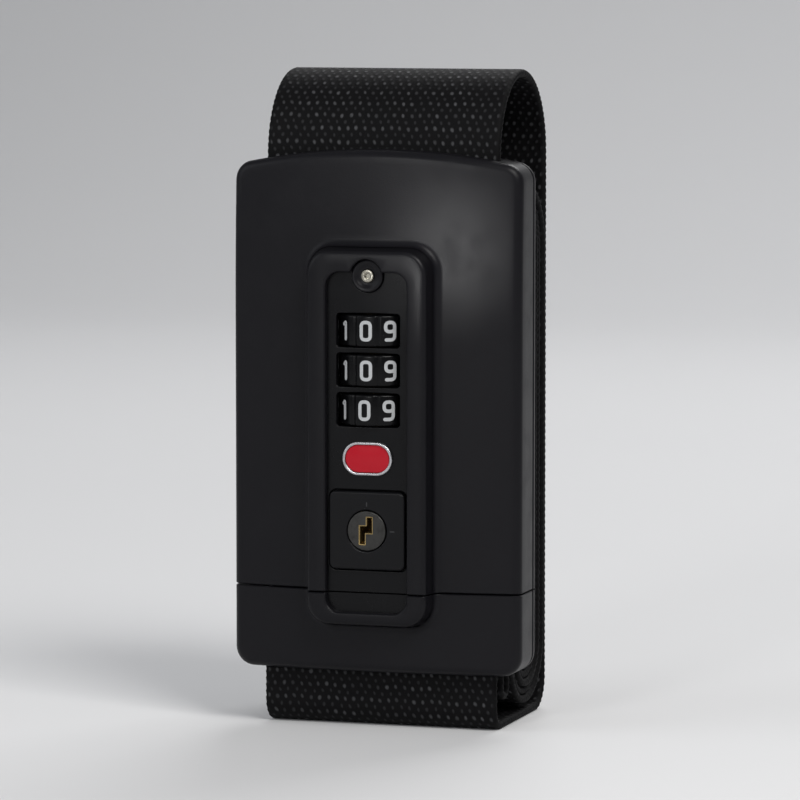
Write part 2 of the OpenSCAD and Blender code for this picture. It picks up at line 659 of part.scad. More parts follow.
module tongue_core() color([0.16, 0.16, 0.17]) difference() {
    union() {
        block([-core_half_w, core_y[0], core_z], [core_half_w, core_y[1], tongue_top_z]);
        both_sides() {
            along_y(prong_y[0], prong_y[1]) polygon([
                [prong_x[0], tongue_top_z - 1], [prong_x[1], tongue_top_z - 1],
                [prong_x[1], body_z + prong_h - prong_tip],
                [prong_x[1] - prong_tip, body_z + prong_h],
                [prong_x[0] + prong_tip, body_z + prong_h],
                [prong_x[0], body_z + prong_h - prong_tip]]);
            // Cheek that carries the webbing bar
            block([webbing_w / 2 + 1, lower_bar_y - 3, tongue_bottom_z + wall + fit],
                [core_half_w, core_y[1], core_z + eps]);
        }
    }
    bar_x(lower_bar_y, lower_bar_z, -half_w, half_w, bar_r + running_fit);
    // Pocket of the steel plate, and of the catch with its rivets
    block([-plate_half_w - fit, plate_y - press_fit, core_z + 0.8],
        [plate_half_w + fit, plate_y + plate_t + press_fit, tongue_top_z + 1]);
    block([-leaf_half_w - fit, plate_y - leaf_t - fit, core_z + 0.8],
        [leaf_half_w + fit, plate_y, tongue_top_z + 1]);
    block([-leaf_half_w - fit, plate_y - leaf_t - 0.7, core_z + 1.6],
        [leaf_half_w + fit, plate_y + plate_t + 0.7, tongue_top_z + 1]);
    both_sides() bar_y(screw_x, tongue_screw_z, core_y[0] - 1, core_y[1] + 1, screw_r + 0.1);
}

rivet_x = leaf_half_w - 1.6;
rivet_z = core_z + 4;

module tongue_plate() color("silver") difference() {
    block([-plate_half_w, plate_y, core_z + 0.9],
        [plate_half_w, plate_y + plate_t, button_z + 4.5]);
    block([-fork_half_w, plate_y - 1, tongue_top_z + 1],
        [fork_half_w, plate_y + plate_t + 1, button_z + 5]);
    both_sides() bar_y(rivet_x, rivet_z, plate_y - 1, plate_y + 3, 0.95 + press_fit);
}

module catch_spring() color([0.8, 0.8, 0.82]) difference() {
    along_x(-leaf_half_w, leaf_half_w) polygon([
        [plate_y - leaf_t, core_z + 0.9], [plate_y, core_z + 0.9],
        [plate_y, button_z + 5.2], [plate_y - leaf_t, button_z + 5.2],
        [plate_y - leaf_t, tooth_z + 3.3], [plate_y - leaf_t - 1.3, tooth_z + 0.6],
        [plate_y - leaf_t - 1.3, tooth_z], [plate_y - leaf_t, tooth_z]]);
    both_sides() bar_y(rivet_x, rivet_z, plate_y - 2, plate_y + 1, 0.95 + press_fit);
}

module catch_rivets() color("silver") both_sides() {
    bar_y(rivet_x, rivet_z, plate_y - leaf_t - 0.01, plate_y + plate_t + 0.01, 0.95);
    bar_y(rivet_x, rivet_z, plate_y - leaf_t - 0.5, plate_y - leaf_t, 1.5);
    bar_y(rivet_x, rivet_z, plate_y + plate_t, plate_y + plate_t + 0.5, 1.5);
}

module lower_webbing_bar() color("silver")
    bar_x(lower_bar_y, lower_bar_z, wall + fit - half_w, half_w - wall - fit, bar_r);

module tongue_screws() color("silver") both_sides()
    back_screw(screw_x, tongue_screw_z, core_y[0] - 1.2);

// Webbing profiles in YZ. A run is a straight stretch, a bend is half or a quarter of a ring.
module run(y, z0, z1) translate([y - webbing_t / 2, z0]) square([webbing_t, z1 - z0]);

module bend(c, r, low, high) intersection() {
    ring(c, r - webbing_t / 2, r + webbing_t / 2);
    translate(c + low) square(high - low);
}

module webbing_upper() color([0.03, 0.03, 0.03]) along_x(-webbing_w / 2, webbing_w / 2) {
    top = top_bend_r + webbing_t;
    bend([(wall_run_y + upper_run_y) / 2, bend_z], top_bend_r, [-top, 0], [top, top]);
    run(wall_run_y, webbing_split_z + joint_gap / 2, bend_z);
    run(upper_run_y, upper_bar_z + loop_r + webbing_t / 2, bend_z);
    // Doubled end, sewn to itself above the bar
    run(upper_run_y - webbing_t, upper_bar_z + loop_r + webbing_t / 2, doubled_end_z);
    ring([upper_bar_y, upper_bar_z], loop_r, loop_r + webbing_t);
}

module webbing_lower() color([0.03, 0.03, 0.03]) along_x(-webbing_w / 2, webbing_w / 2) {
    rear_y = wall_run_y - rear_bend_r;
    front_y = standing_y + front_bend_r;
    rear = rear_bend_r + webbing_t;
    front = front_bend_r + webbing_t;
    turn_r = (tail_end_y - tail_y) / 2;
    turn = turn_r + webbing_t;
    run(wall_run_y, rear_bend_r + webbing_t / 2, webbing_split_z - joint_gap / 2);
    bend([rear_y, rear_bend_r + webbing_t / 2], rear_bend_r, [0, -rear], [rear, 0]);
    translate([front_y, 0]) square([rear_y - front_y, webbing_t]);
    bend([front_y, front_bend_r + webbing_t / 2], front_bend_r, [-front, -front], [0, 0]);
    run(standing_y, front_bend_r + webbing_t / 2, lower_bar_z);
    bend([lower_bar_y, lower_bar_z], lower_run_r, [-5, 0], [5, 5]);
    run(tail_y, tail_turn_z, lower_bar_z);
    bend([(tail_y + tail_end_y) / 2, tail_turn_z], turn_r, [-turn, -turn], [turn, 0]);
}

// Outer shape of the wound spare webbing
module webbing_coil() color([0.05, 0.05, 0.05]) along_x(-webbing_w / 2, webbing_w / 2) {
    coil_y = coil_front_y + coil_r;
    soft_rect([coil_front_y, coil_z], [coil_front_y + coil_depth, coil_top_z],
        [coil_r - eps, coil_r - eps, coil_r - eps, coil_r - eps]);
}

front_shell();
back_shell();
back_screws();
upper_webbing_bar();
lock_bezel();
lock_panel();
lock_chassis();
lock_screws();
dial_1();
dial_2();
dial_3();
dial_hub_1();
dial_hub_2();
dial_hub_3();
dial_spindle();
detent_spring();
fence_bar();
reset_pin();
reset_spring();
badge_rim();
badge_enamel();
release_button();
button_spring();
key_barrel();
key_plug();
plug_wafers();
key_cam();
tongue_front();
tongue_bezel();
tongue_back();
tongue_core();
tongue_plate();
catch_spring();
catch_rivets();
lower_webbing_bar();
tongue_screws();
webbing_upper();
webbing_lower();
webbing_coil();
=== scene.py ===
"""Looks of a coiled luggage strap with a three-dial key lock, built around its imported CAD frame.

Every size below is in millimetres in the frame's own axes: +X to the right, +Z up, and the lock
faces -Y. Meshes are scaled to metres when they are made.
"""

from __future__ import annotations

import logging
import math
from dataclasses import dataclass, field
from enum import Enum
from typing import Callable, Optional, Sequence, Union

import bmesh
import bpy
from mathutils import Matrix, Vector
from mathutils.geometry import tessellate_polygon

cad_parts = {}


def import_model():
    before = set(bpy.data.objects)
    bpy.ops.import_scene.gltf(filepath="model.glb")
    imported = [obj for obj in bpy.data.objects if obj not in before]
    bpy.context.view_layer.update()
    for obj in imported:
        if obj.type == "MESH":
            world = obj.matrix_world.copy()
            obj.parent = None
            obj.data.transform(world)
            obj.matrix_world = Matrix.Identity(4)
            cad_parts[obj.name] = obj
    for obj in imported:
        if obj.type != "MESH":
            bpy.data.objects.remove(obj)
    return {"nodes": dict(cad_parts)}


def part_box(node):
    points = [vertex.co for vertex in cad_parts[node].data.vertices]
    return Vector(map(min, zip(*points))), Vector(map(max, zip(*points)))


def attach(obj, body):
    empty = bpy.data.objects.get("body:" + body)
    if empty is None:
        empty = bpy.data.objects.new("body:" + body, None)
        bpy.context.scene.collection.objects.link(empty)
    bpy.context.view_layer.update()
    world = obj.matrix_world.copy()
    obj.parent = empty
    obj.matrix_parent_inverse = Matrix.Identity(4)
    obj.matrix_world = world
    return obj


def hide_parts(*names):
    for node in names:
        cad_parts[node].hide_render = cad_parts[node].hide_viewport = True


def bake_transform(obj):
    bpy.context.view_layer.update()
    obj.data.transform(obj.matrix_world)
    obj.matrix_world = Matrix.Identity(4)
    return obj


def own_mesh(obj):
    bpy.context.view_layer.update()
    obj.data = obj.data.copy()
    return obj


LOG = logging.getLogger("luggage_strap")
MM = 0.001
WEBBING_PLACE = "webbing_place"  # the mesh attribute with (across, along) on the webbing
SMOOTH_BELOW = math.radians(32)  # edges that turn less are shaded smooth
WEBBING_SMOOTH_BELOW = math.radians(75)  # and on the webbing
HOLD = 0.03  # width of the ring that keeps a flat face's shading flat beside its round edge

WEBBING_HALF_W = 25.0
WEBBING_HALF_T = 0.75
UPPER_RUN_Y = -11.25  # depth of the webbing where it rises from the upper bar
STANDING_RUN_Y = -13.2  # depth of the webbing where it comes up into the tongue
SLOT_GAP = 0.3  # room beside the webbing in the slots that it passes through

Point2 = tuple[float, float]
Point3 = tuple[float, float, float]
Loop = list[Point2]


def link(name: str, data: bpy.types.ID) -> bpy.types.Object:
    """Makes an object of a mesh, light or camera, and puts it in the scene.

    Args:
        name: its name.
        data: what it shows.

    Returns:
        The object.
    """
    made = bpy.data.objects.new(name, data)
    bpy.context.scene.collection.objects.link(made)
    return made


def node_box(node: str) -> tuple[Vector, Vector]:
    """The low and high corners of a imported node, in millimetres."""
    low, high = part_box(node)
    return low / MM, high / MM


def node_middle(node: str) -> Vector:
    """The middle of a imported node's box, in millimetres."""
    low, high = node_box(node)
    return (low + high) / 2


# ---------------------------------------------------------------- shader building


def operator(operation: str, swapped: bool = False) -> Callable[[Wire, Operand], Wire]:
    """A method of Wire that adds a Math node, with this value first or, if swapped, second.

    Args:
        operation: the Math node's operation.
        swapped: whether this value comes second.

    Returns:
        The method.
    """

    def method(self: Wire, other: Operand) -> Wire:
        """The node's result."""
        return self._math(operation, *((other, self) if swapped else (self, other)))

    return method


class Wire:
    """A shader socket that carries a number, with Python's arithmetic."""

    __add__ = operator("ADD")
    __radd__ = operator("ADD", swapped=True)
    __sub__ = operator("SUBTRACT")
    __rsub__ = operator("SUBTRACT", swapped=True)
    __mul__ = operator("MULTIPLY")
    __rmul__ = operator("MULTIPLY", swapped=True)
    __truediv__ = operator("DIVIDE")
    __rtruediv__ = operator("DIVIDE", swapped=True)
    __pow__ = operator("POWER")
    __mod__ = operator("FLOORED_MODULO")

    def __init__(self, graph: Graph, socket: Optional[bpy.types.NodeSocket]) -> None:
        """Wraps one output socket of the graph."""
        self.graph = graph
        self.socket = socket

    def _math(self, operation: str, *operands: Operand) -> Wire:
        """A Math node on the operands."""
        return self.graph.node("ShaderNodeMath", {"operation": operation}, dict(enumerate(operands)))

    def __abs__(self) -> Wire:
        """This value without its sign."""
        return self._math("ABSOLUTE", self)

    def cosine(self) -> Wire:
        """The cosine of this angle in radians."""
        return self._math("COSINE", self)

    def floor(self) -> Wire:
        """The whole number at or below this value."""
        return self._math("FLOOR", self)

    def between(self, low: float, high: float) -> Wire:
        """0 where this value is below low, 1 above high, and a smooth rise between."""
        return self.graph.node(
            "ShaderNodeMapRange",
            {"interpolation_type": "SMOOTHSTEP"},
            {"Value": self, "From Min": low, "From Max": high},
        )


Operand = Union[Wire, float]


def cosine(value: Operand) -> Operand:
    """The cosine of a number or of a wire."""
    return value.cosine() if isinstance(value, Wire) else math.cos(value)


def whole(value: Operand) -> Operand:
    """The whole number at or below a number or a wire."""
    return value.floor() if isinstance(value, Wire) else math.floor(value)


class Graph:
    """The node tree of one material."""

    def __init__(self, name: str) -> None:
        """Starts an empty material of that name.

        Args:
            name: the material's name.
        """
        self.material = bpy.data.materials.new(name)
        self.material.use_nodes = True
        self.tree = self.material.node_tree
        self.tree.nodes.clear()

    def node(self, kind: str, settings: dict, inputs: dict, output: Union[int, str] = 0) -> Wire:
        """Adds one node.

        Args:
            kind: the node's type.
            settings: its properties, set first.
            inputs: a value or a Wire for each input, by name or by number.
            output: the output socket that is wanted.

        Returns:
            The wanted output.
        """
        made = self.tree.nodes.new(kind)
        for name, value in settings.items():
            setattr(made, name, value)
        for key, value in inputs.items():
            if isinstance(value, Wire):
                self.tree.links.new(value.socket, made.inputs[key])
            else:
                made.inputs[key].default_value = value
        return Wire(self, made.outputs[output] if made.outputs else None)

    def place(self) -> Wire:
        """The point on the surface, in metres in the frame's axes."""
        return self.node("ShaderNodeTexCoord", {}, {}, "Object")

    def scaled(self, point: Wire, scale: Point3) -> Wire:
        """A point with each axis multiplied."""
        return self.node("ShaderNodeVectorMath", {"operation": "MULTIPLY"}, {0: point, 1: scale})

    def noise(self, scale: float, detail: float = 2.0, vector: Optional[Wire] = None) -> Wire:
        """Smooth noise from 0 to 1.

        Args:
            scale: waves per metre.
            detail: how many finer layers are added.
            vector: the point that it is read at, or None for the surface's own.

        Returns:
            The noise as a number.
        """
        inputs = {"Vector": vector or self.place(), "Scale": scale, "Detail": detail}
        return self.node("ShaderNodeTexNoise", {}, inputs)

    def blend(self, share: Wire, low: Point3, high: Point3) -> Wire:
        """A colour between low and high."""
        settings = {"data_type": "RGBA", "clamp_factor": True}
        return self.node("ShaderNodeMix", settings, {0: share, 6: (*low, 1.0), 7: (*high, 1.0)}, 2)

    def bump(self, height: Wire, depth: float) -> Wire:
        """The normal bent by a relief of 0 to 1, depth metres deep."""
        inputs = {"Height": height, "Distance": depth, "Strength": 1.0}
        return self.node("ShaderNodeBump", {}, inputs)

    def finish(self, inputs: dict) -> bpy.types.Material:
        """Closes the material with a Principled shader.

        Args:
            inputs: a value or a Wire for each of the shader's inputs.

        Returns:
            The material.
        """
        shader = self.node("ShaderNodeBsdfPrincipled", {}, inputs)
        self.node("ShaderNodeOutputMaterial", {}, {"Surface": shader})
        return self.material


@dataclass(frozen=True)
class Moulding:
    """Fine-textured moulded plastic, slightly uneven in colour and gloss."""

    name: str
    dark: Point3
    light: Point3
    roughness: float
    grain: float = 6500.0
    grain_depth: float = 0.022
    coat: float = 0.0
    gloss: float = 0.15

    def make(self) -> bpy.types.Material:
        """The plastic's material."""
        graph = Graph(self.name)
        cloud = graph.noise(45.0, 3.0)
        grain = graph.noise(self.grain, 2.0)
        pores = graph.noise(self.grain * 0.31, 1.0)
        texture = grain * 0.65 + pores * 0.35
        handling = graph.noise(160.0, 4.0).between(0.42, 0.75)
        colour = graph.blend(cloud * 0.55 + texture * 0.45, self.dark, self.light)
        return graph.finish(
            {
                "Base Color": colour,
                "Roughness": self.roughness + handling * 0.06 + texture * 0.08 - 0.06,
                "Specular IOR Level": self.gloss,
                "Coat Weight": self.coat,
                "Coat Roughness": 0.12,
                "Normal": graph.bump(texture, self.grain_depth * MM),
            }
        )


@dataclass(frozen=True)
class Metal:
    """Machined or plated metal with fine drawn lines and a little tarnish."""

    name: str
    colour: Point3
    tarnish: Point3
    roughness: float
    lines: Point3 = (300.0, 300.0, 9000.0)

    def make(self) -> bpy.types.Material:
        """The metal's material."""
        graph = Graph(self.name)
        drawn = graph.noise(1.0, 2.0, graph.scaled(graph.place(), self.lines))
        spots = graph.noise(700.0, 3.0).between(0.45, 0.8)
        return graph.finish(
            {
                "Base Color": graph.blend(spots * 0.7 + drawn * 0.2, self.colour, self.tarnish),
                "Metallic": 1.0,
                "Roughness": self.roughness + drawn * 0.12 + spots * 0.1,
                "Normal": graph.bump(drawn, 0.004 * MM),
            }
        )


@dataclass(frozen=True)
class Weave:
    """The coarse woven pattern of the webbing: raised warp floats in staggered rows."""

    across: float = 1.87
    along: float = 2.76
    row_shift: float = 0.16
    lean: float = 0.22

    def height(self, x: float, s: float) -> float:
        """The relief at a place on the webbing, from 0 to about 1."""
        strong, faint, _, _ = self.floats(x, s)
        return strong + 0.5 * faint

    def floats(self, x: Operand, s: Operand) -> tuple[Operand, Operand, Operand, Operand]:
        """The raised floats, for a mesh in numbers and for a material in wires.

        Args:
            x: distance from the webbing's middle.
            s: distance along it.

        Returns:
            The strong floats, the faint ones between them, and the column and row of the nearest
            strong one.
        """
        bent_x = x + cosine(s * 1.31 + x * 0.57) * 0.09 + cosine(s * 0.37 - x * 1.9) * 0.07
        bent_s = s + cosine(x * 0.83 + s * 0.21) * 0.14 + cosine(x * 2.7 + s) * 0.06
        u, v = bent_x / self.across, bent_s / self.along
        strong, column, row = self._lattice(u, v, 1.25, 1.7)
        faint, _, _ = self._lattice(u + 0.5, v + 0.5, 1.3, 1.6)
        return strong, faint, column, row

    def _lattice(
        self, u: Operand, v: Operand, sharp_u: float, sharp_v: float
    ) -> tuple[Operand, Operand, Operand]:
        """A lattice of leaning humps in staggered rows, and the lattice place of the nearest one.

        Args:
            u: place across, in columns.
            v: place along, in rows.
            sharp_u: the humps' sharpness across.
            sharp_v: their sharpness along.

        Returns:
            The hump's height, its column and its row.
        """
        row = whole(v + 0.5)
        u = u + (row % 2.0) * self.row_shift + (v - row) * self.lean
        return self._lobe(u, sharp_u) * self._lobe(v, sharp_v), whole(u + 0.5), row

    @staticmethod
    def _lobe(value: Operand, sharpness: float) -> Operand:
        """A row of humps, one at each whole number."""
        return abs(cosine(value * math.pi)) ** (2 * sharpness)


@dataclass(frozen=True)
class WebbingFabric:
    """Black polyester webbing: dark yarn, with glints painted into the base colour on the raised floats.
    """

    name: str
    weave: Weave
    selvedge: Point2 = (WEBBING_HALF_W - 1.0, WEBBING_HALF_W - 0.5)  # where the painted glints fade out

    def make(self) -> bpy.types.Material:
        """The webbing's material."""
        graph = Graph(self.name)
        place = graph.node("ShaderNodeAttribute", {"attribute_name": WEBBING_PLACE}, {}, "Vector")
        x = graph.node("ShaderNodeSeparateXYZ", {}, {"Vector": place}, 0)
        s = graph.node("ShaderNodeSeparateXYZ", {}, {"Vector": place}, 1)
        strong, faint, column, row = self.weave.floats(x, s)
        cell = graph.node("ShaderNodeCombineXYZ", {}, {0: column, 1: row})
        chance = graph.node("ShaderNodeTexWhiteNoise", {"noise_dimensions": "2D"}, {"Vector": cell}, 0)
        yarn = graph.noise(1.0, 2.0, graph.scaled(place, (3.1, 1.1, 1.0)))
        fibre = graph.noise(1.0, 1.0, graph.scaled(place, (11.0, 2.4, 1.0)))
        patches = graph.noise(1.0, 2.0, graph.scaled(place, (0.11, 0.07, 1.0))).between(0.3, 0.7)
        # painted glints: the floats' base colour is lightened to stand in for the highlights on the yarn
        glint = strong.between(0.4, 1.0) * (0.35 + chance * 0.65) * (0.55 + patches * 0.45)
        glint = (glint + faint.between(0.55, 1.0) * 0.22) * (1.0 - abs(x).between(*self.selvedge) * 0.85)
        colour = graph.blend(glint * (0.35 + fibre), (0.0013, 0.0012, 0.0016), (0.082, 0.083, 0.088))
        relief = (strong + faint * 0.5) * 0.6 + yarn * 0.3 + fibre * 0.12
        return graph.finish(
            {
                "Base Color": colour,
                "Roughness": 0.74 - glint * 0.25 - fibre * 0.06,
                "Specular IOR Level": 0.13,
                "Normal": graph.bump(relief, 0.14 * MM),
            }
        )


class Finish(Enum):
    """The finishes of the strap, each with the name of its slot."""

    WEBBING = "webbing_black"
    BODY = "body_plastic"
    FRAME = "frame_plastic"
    PANEL = "panel_plastic"
    BUTTON = "button_plastic"
    DIAL = "dial_black"
    CORE = "core_nylon"
    ZINC = "zinc"
    STEEL = "steel"
    SPRING = "spring_steel"
    BRASS = "brass"
    PLUG = "plug_black"
    BADGE_RIM = "badge_metal"
    ENAMEL = "enamel_red"


RECIPES = {
    Finish.WEBBING: WebbingFabric("woven_webbing", Weave()),
    Finish.BODY: Moulding(
        "charcoal_moulding", (0.0043, 0.0041, 0.0054), (0.0082, 0.0079, 0.0098), 0.38
    ),
    Finish.FRAME: Moulding(
        "frame_moulding", (0.0041, 0.0039, 0.0051), (0.0076, 0.0074, 0.0091), 0.36
    ),
    Finish.PANEL: Moulding(
        "panel_moulding", (0.0024, 0.0024, 0.003), (0.0045, 0.0045, 0.0053), 0.3, 5000.0, 0.008
    ),
    Finish.BUTTON: Moulding(
        "button_moulding", (0.0032, 0.0032, 0.0039), (0.006, 0.006, 0.0069), 0.32, 5000.0, 0.01
    ),
    Finish.DIAL: Moulding(
        "dial_moulding", (0.0014, 0.0014, 0.0018), (0.0028, 0.0028, 0.0033), 0.26, 5000.0, 0.005
    ),
    Finish.CORE: Moulding("core_nylon", (0.02, 0.02, 0.021), (0.034, 0.034, 0.036), 0.5),
    Finish.ZINC: Metal(
        "cast_zinc", (0.42, 0.42, 0.43), (0.27, 0.27, 0.28), 0.4, (500.0, 500.0, 500.0)
    ),
    Finish.STEEL: Metal("plated_steel", (0.56, 0.56, 0.57), (0.38, 0.37, 0.36), 0.24),
    Finish.SPRING: Metal("spring_steel", (0.5, 0.5, 0.52), (0.33, 0.33, 0.35), 0.22),
    Finish.BRASS: Metal("turned_brass", (0.66, 0.5, 0.24), (0.4, 0.28, 0.12), 0.28),
    Finish.PLUG: Metal("dark_nickel", (0.055, 0.054, 0.052), (0.024, 0.024, 0.023), 0.33),
    Finish.BADGE_RIM: Metal("polished_rim", (0.52, 0.52, 0.54), (0.34, 0.34, 0.35), 0.2),
    Finish.ENAMEL: Moulding(
        "red_enamel", (0.34, 0.004, 0.012), (0.46, 0.006, 0.018), 0.32, 4000.0, 0.004, 0.12
    ),
}

NUMERAL_PAINT = Moulding(
    "numeral_paint", (0.37, 0.38, 0.39), (0.48, 0.49, 0.5), 0.45, 5000.0, 0.004
)
# the dial hubs' brass, darkened far below brass: painted shade where the hubs show between the dials
HUB_BRASS_PAINTED_SHADE = Metal("hub_brass_painted_shade", (0.1, 0.075, 0.04), (0.05, 0.035, 0.02), 0.5)
PIN_METAL = Metal("worn_nickel", (0.34, 0.325, 0.28), (0.2, 0.18, 0.14), 0.24)
KEYWAY_BRASS = Metal("keyway_brass", (0.34, 0.25, 0.11), (0.18, 0.12, 0.05), 0.35)
MARK_PAINT = Moulding(
    "mark_paint", (0.03, 0.03, 0.032), (0.045, 0.045, 0.047), 0.5, 5000.0, 0.004
)


class Paints:
    """Makes each material once and puts it on pieces."""

    def __init__(self) -> None:
        """Starts with no material made."""
        self._made: dict[object, bpy.types.Material] = {}

    def material(self, recipe: object) -> bpy.types.Material:
        """The material of a recipe, made at its first use.

        Args:
            recipe: the recipe.

        Returns:
            Its material.
        """
        if recipe not in self._made:
            self._made[recipe] = recipe.make()
        return self._made[recipe]

    def dress(self, piece: bpy.types.Object, finish: Finish) -> bpy.types.Object:
        """Gives a piece the material of one finish.

        Args:
            piece: the piece, a carried-over node or a new mesh.
            finish: what it is made of.

        Returns:
            The piece.
        """
        if piece.data.materials:
            piece.data.materials.clear()
        piece.data.materials.append(self.material(RECIPES[finish]))
        return piece


# ---------------------------------------------------------------- outlines


def arc(centre: Point2, radius: float, start: float, end: float, steps: int) -> Loop:
    """Points of an arc.

    Args:
        centre: its centre.
        radius: its radius.
        start: angle of its first point, in degrees.
        end: angle of its last point, in degrees.
        steps: how many pieces it is cut into.

    Returns:
        The points, both ends included.
    """
    angles = [math.radians(start + (end - start) * i / steps) for i in range(steps + 1)]
    return [(centre[0] + radius * math.cos(a), centre[1] + radius * math.sin(a)) for a in angles]


def spaced(start: float, end: float, count: int) -> list[float]:
    """count numbers from start to end."""
    return [start + (end - start) * i / (count - 1) for i in range(count)]


def between(a: Point2, b: Point2, share: float) -> Point2:
    """The point at that share of the way from a to b."""
    return (a[0] + (b[0] - a[0]) * share, a[1] + (b[1] - a[1]) * share)


@dataclass(frozen=True)
class RoundRect:
    """A rectangle with round corners, in the front view."""

    middle: Point2
    width: float
    height: float
    radius: float
    corner_steps: int = 8

    def loop(self, inset: float = 0.0) -> Loop:
        """Its outline drawn in by inset, anticlockwise from the lower right.

        Args:
            inset: how far it is drawn in.

        Returns:
            Its points.
        """
        half_w, half_h = self.width / 2 - inset, self.height / 2 - inset
        radius = max(self.radius - inset, 0.02)
        corners = ((1, -1, -90.0), (1, 1, 0.0), (-1, 1, 90.0), (-1, -1, 180.0))
        points: Loop = []
        for side_x, side_z, start in corners:
            centre = (
                self.middle[0] + side_x * (half_w - radius),
                self.middle[1] + side_z * (half_h - radius),
            )
            points += arc(centre, radius, start, start + 90, self.corner_steps)
        return points


@dataclass(frozen=True)
class Disc:
    """A circle in the front view."""

    middle: Point2
    radius: float
    steps: int = 48

    def loop(self, inset: float = 0.0) -> Loop:
        """Its outline drawn in by inset, anticlockwise."""
        return arc(self.middle, self.radius - inset, 0, 360, self.steps)[:-1]


@dataclass(frozen=True)
class Polygon:
    """A plain outline of straight edges in the front view, anticlockwise."""

    points: tuple[Point2, ...]

    def loop(self, inset: float = 0.0) -> Loop:
        """Its outline with every edge moved in by inset.

        Args:
            inset: how far its edges move in.

        Returns:
            Its points.
        """
        made: Loop = []
        count = len(self.points)
        for i, here in enumerate(self.points):
            before, after = Vector(self.points[i - 1]), Vector(self.points[(i + 1) % count])
            a, b = (Vector(here) - before).normalized(), (after - Vector(here)).normalized()
            inward = Vector((-a.y, a.x)) + Vector((-b.y, b.x))
            moved = Vector(here) + inward * (inset / max(0.2, 1 + a.dot(b)))
            made.append((moved.x, moved.y))
        return made


@dataclass(frozen=True)
class PathOutline:
    """An outline drawn by one of the buckle's own paths."""

    path: Callable[[float], Loop]

    def loop(self, inset: float = 0.0) -> Loop:
        """The path drawn in by inset."""
        return self.path(inset)


Outline = Union[RoundRect, Disc, Polygon, PathOutline]


# ---------------------------------------------------------------- meshes


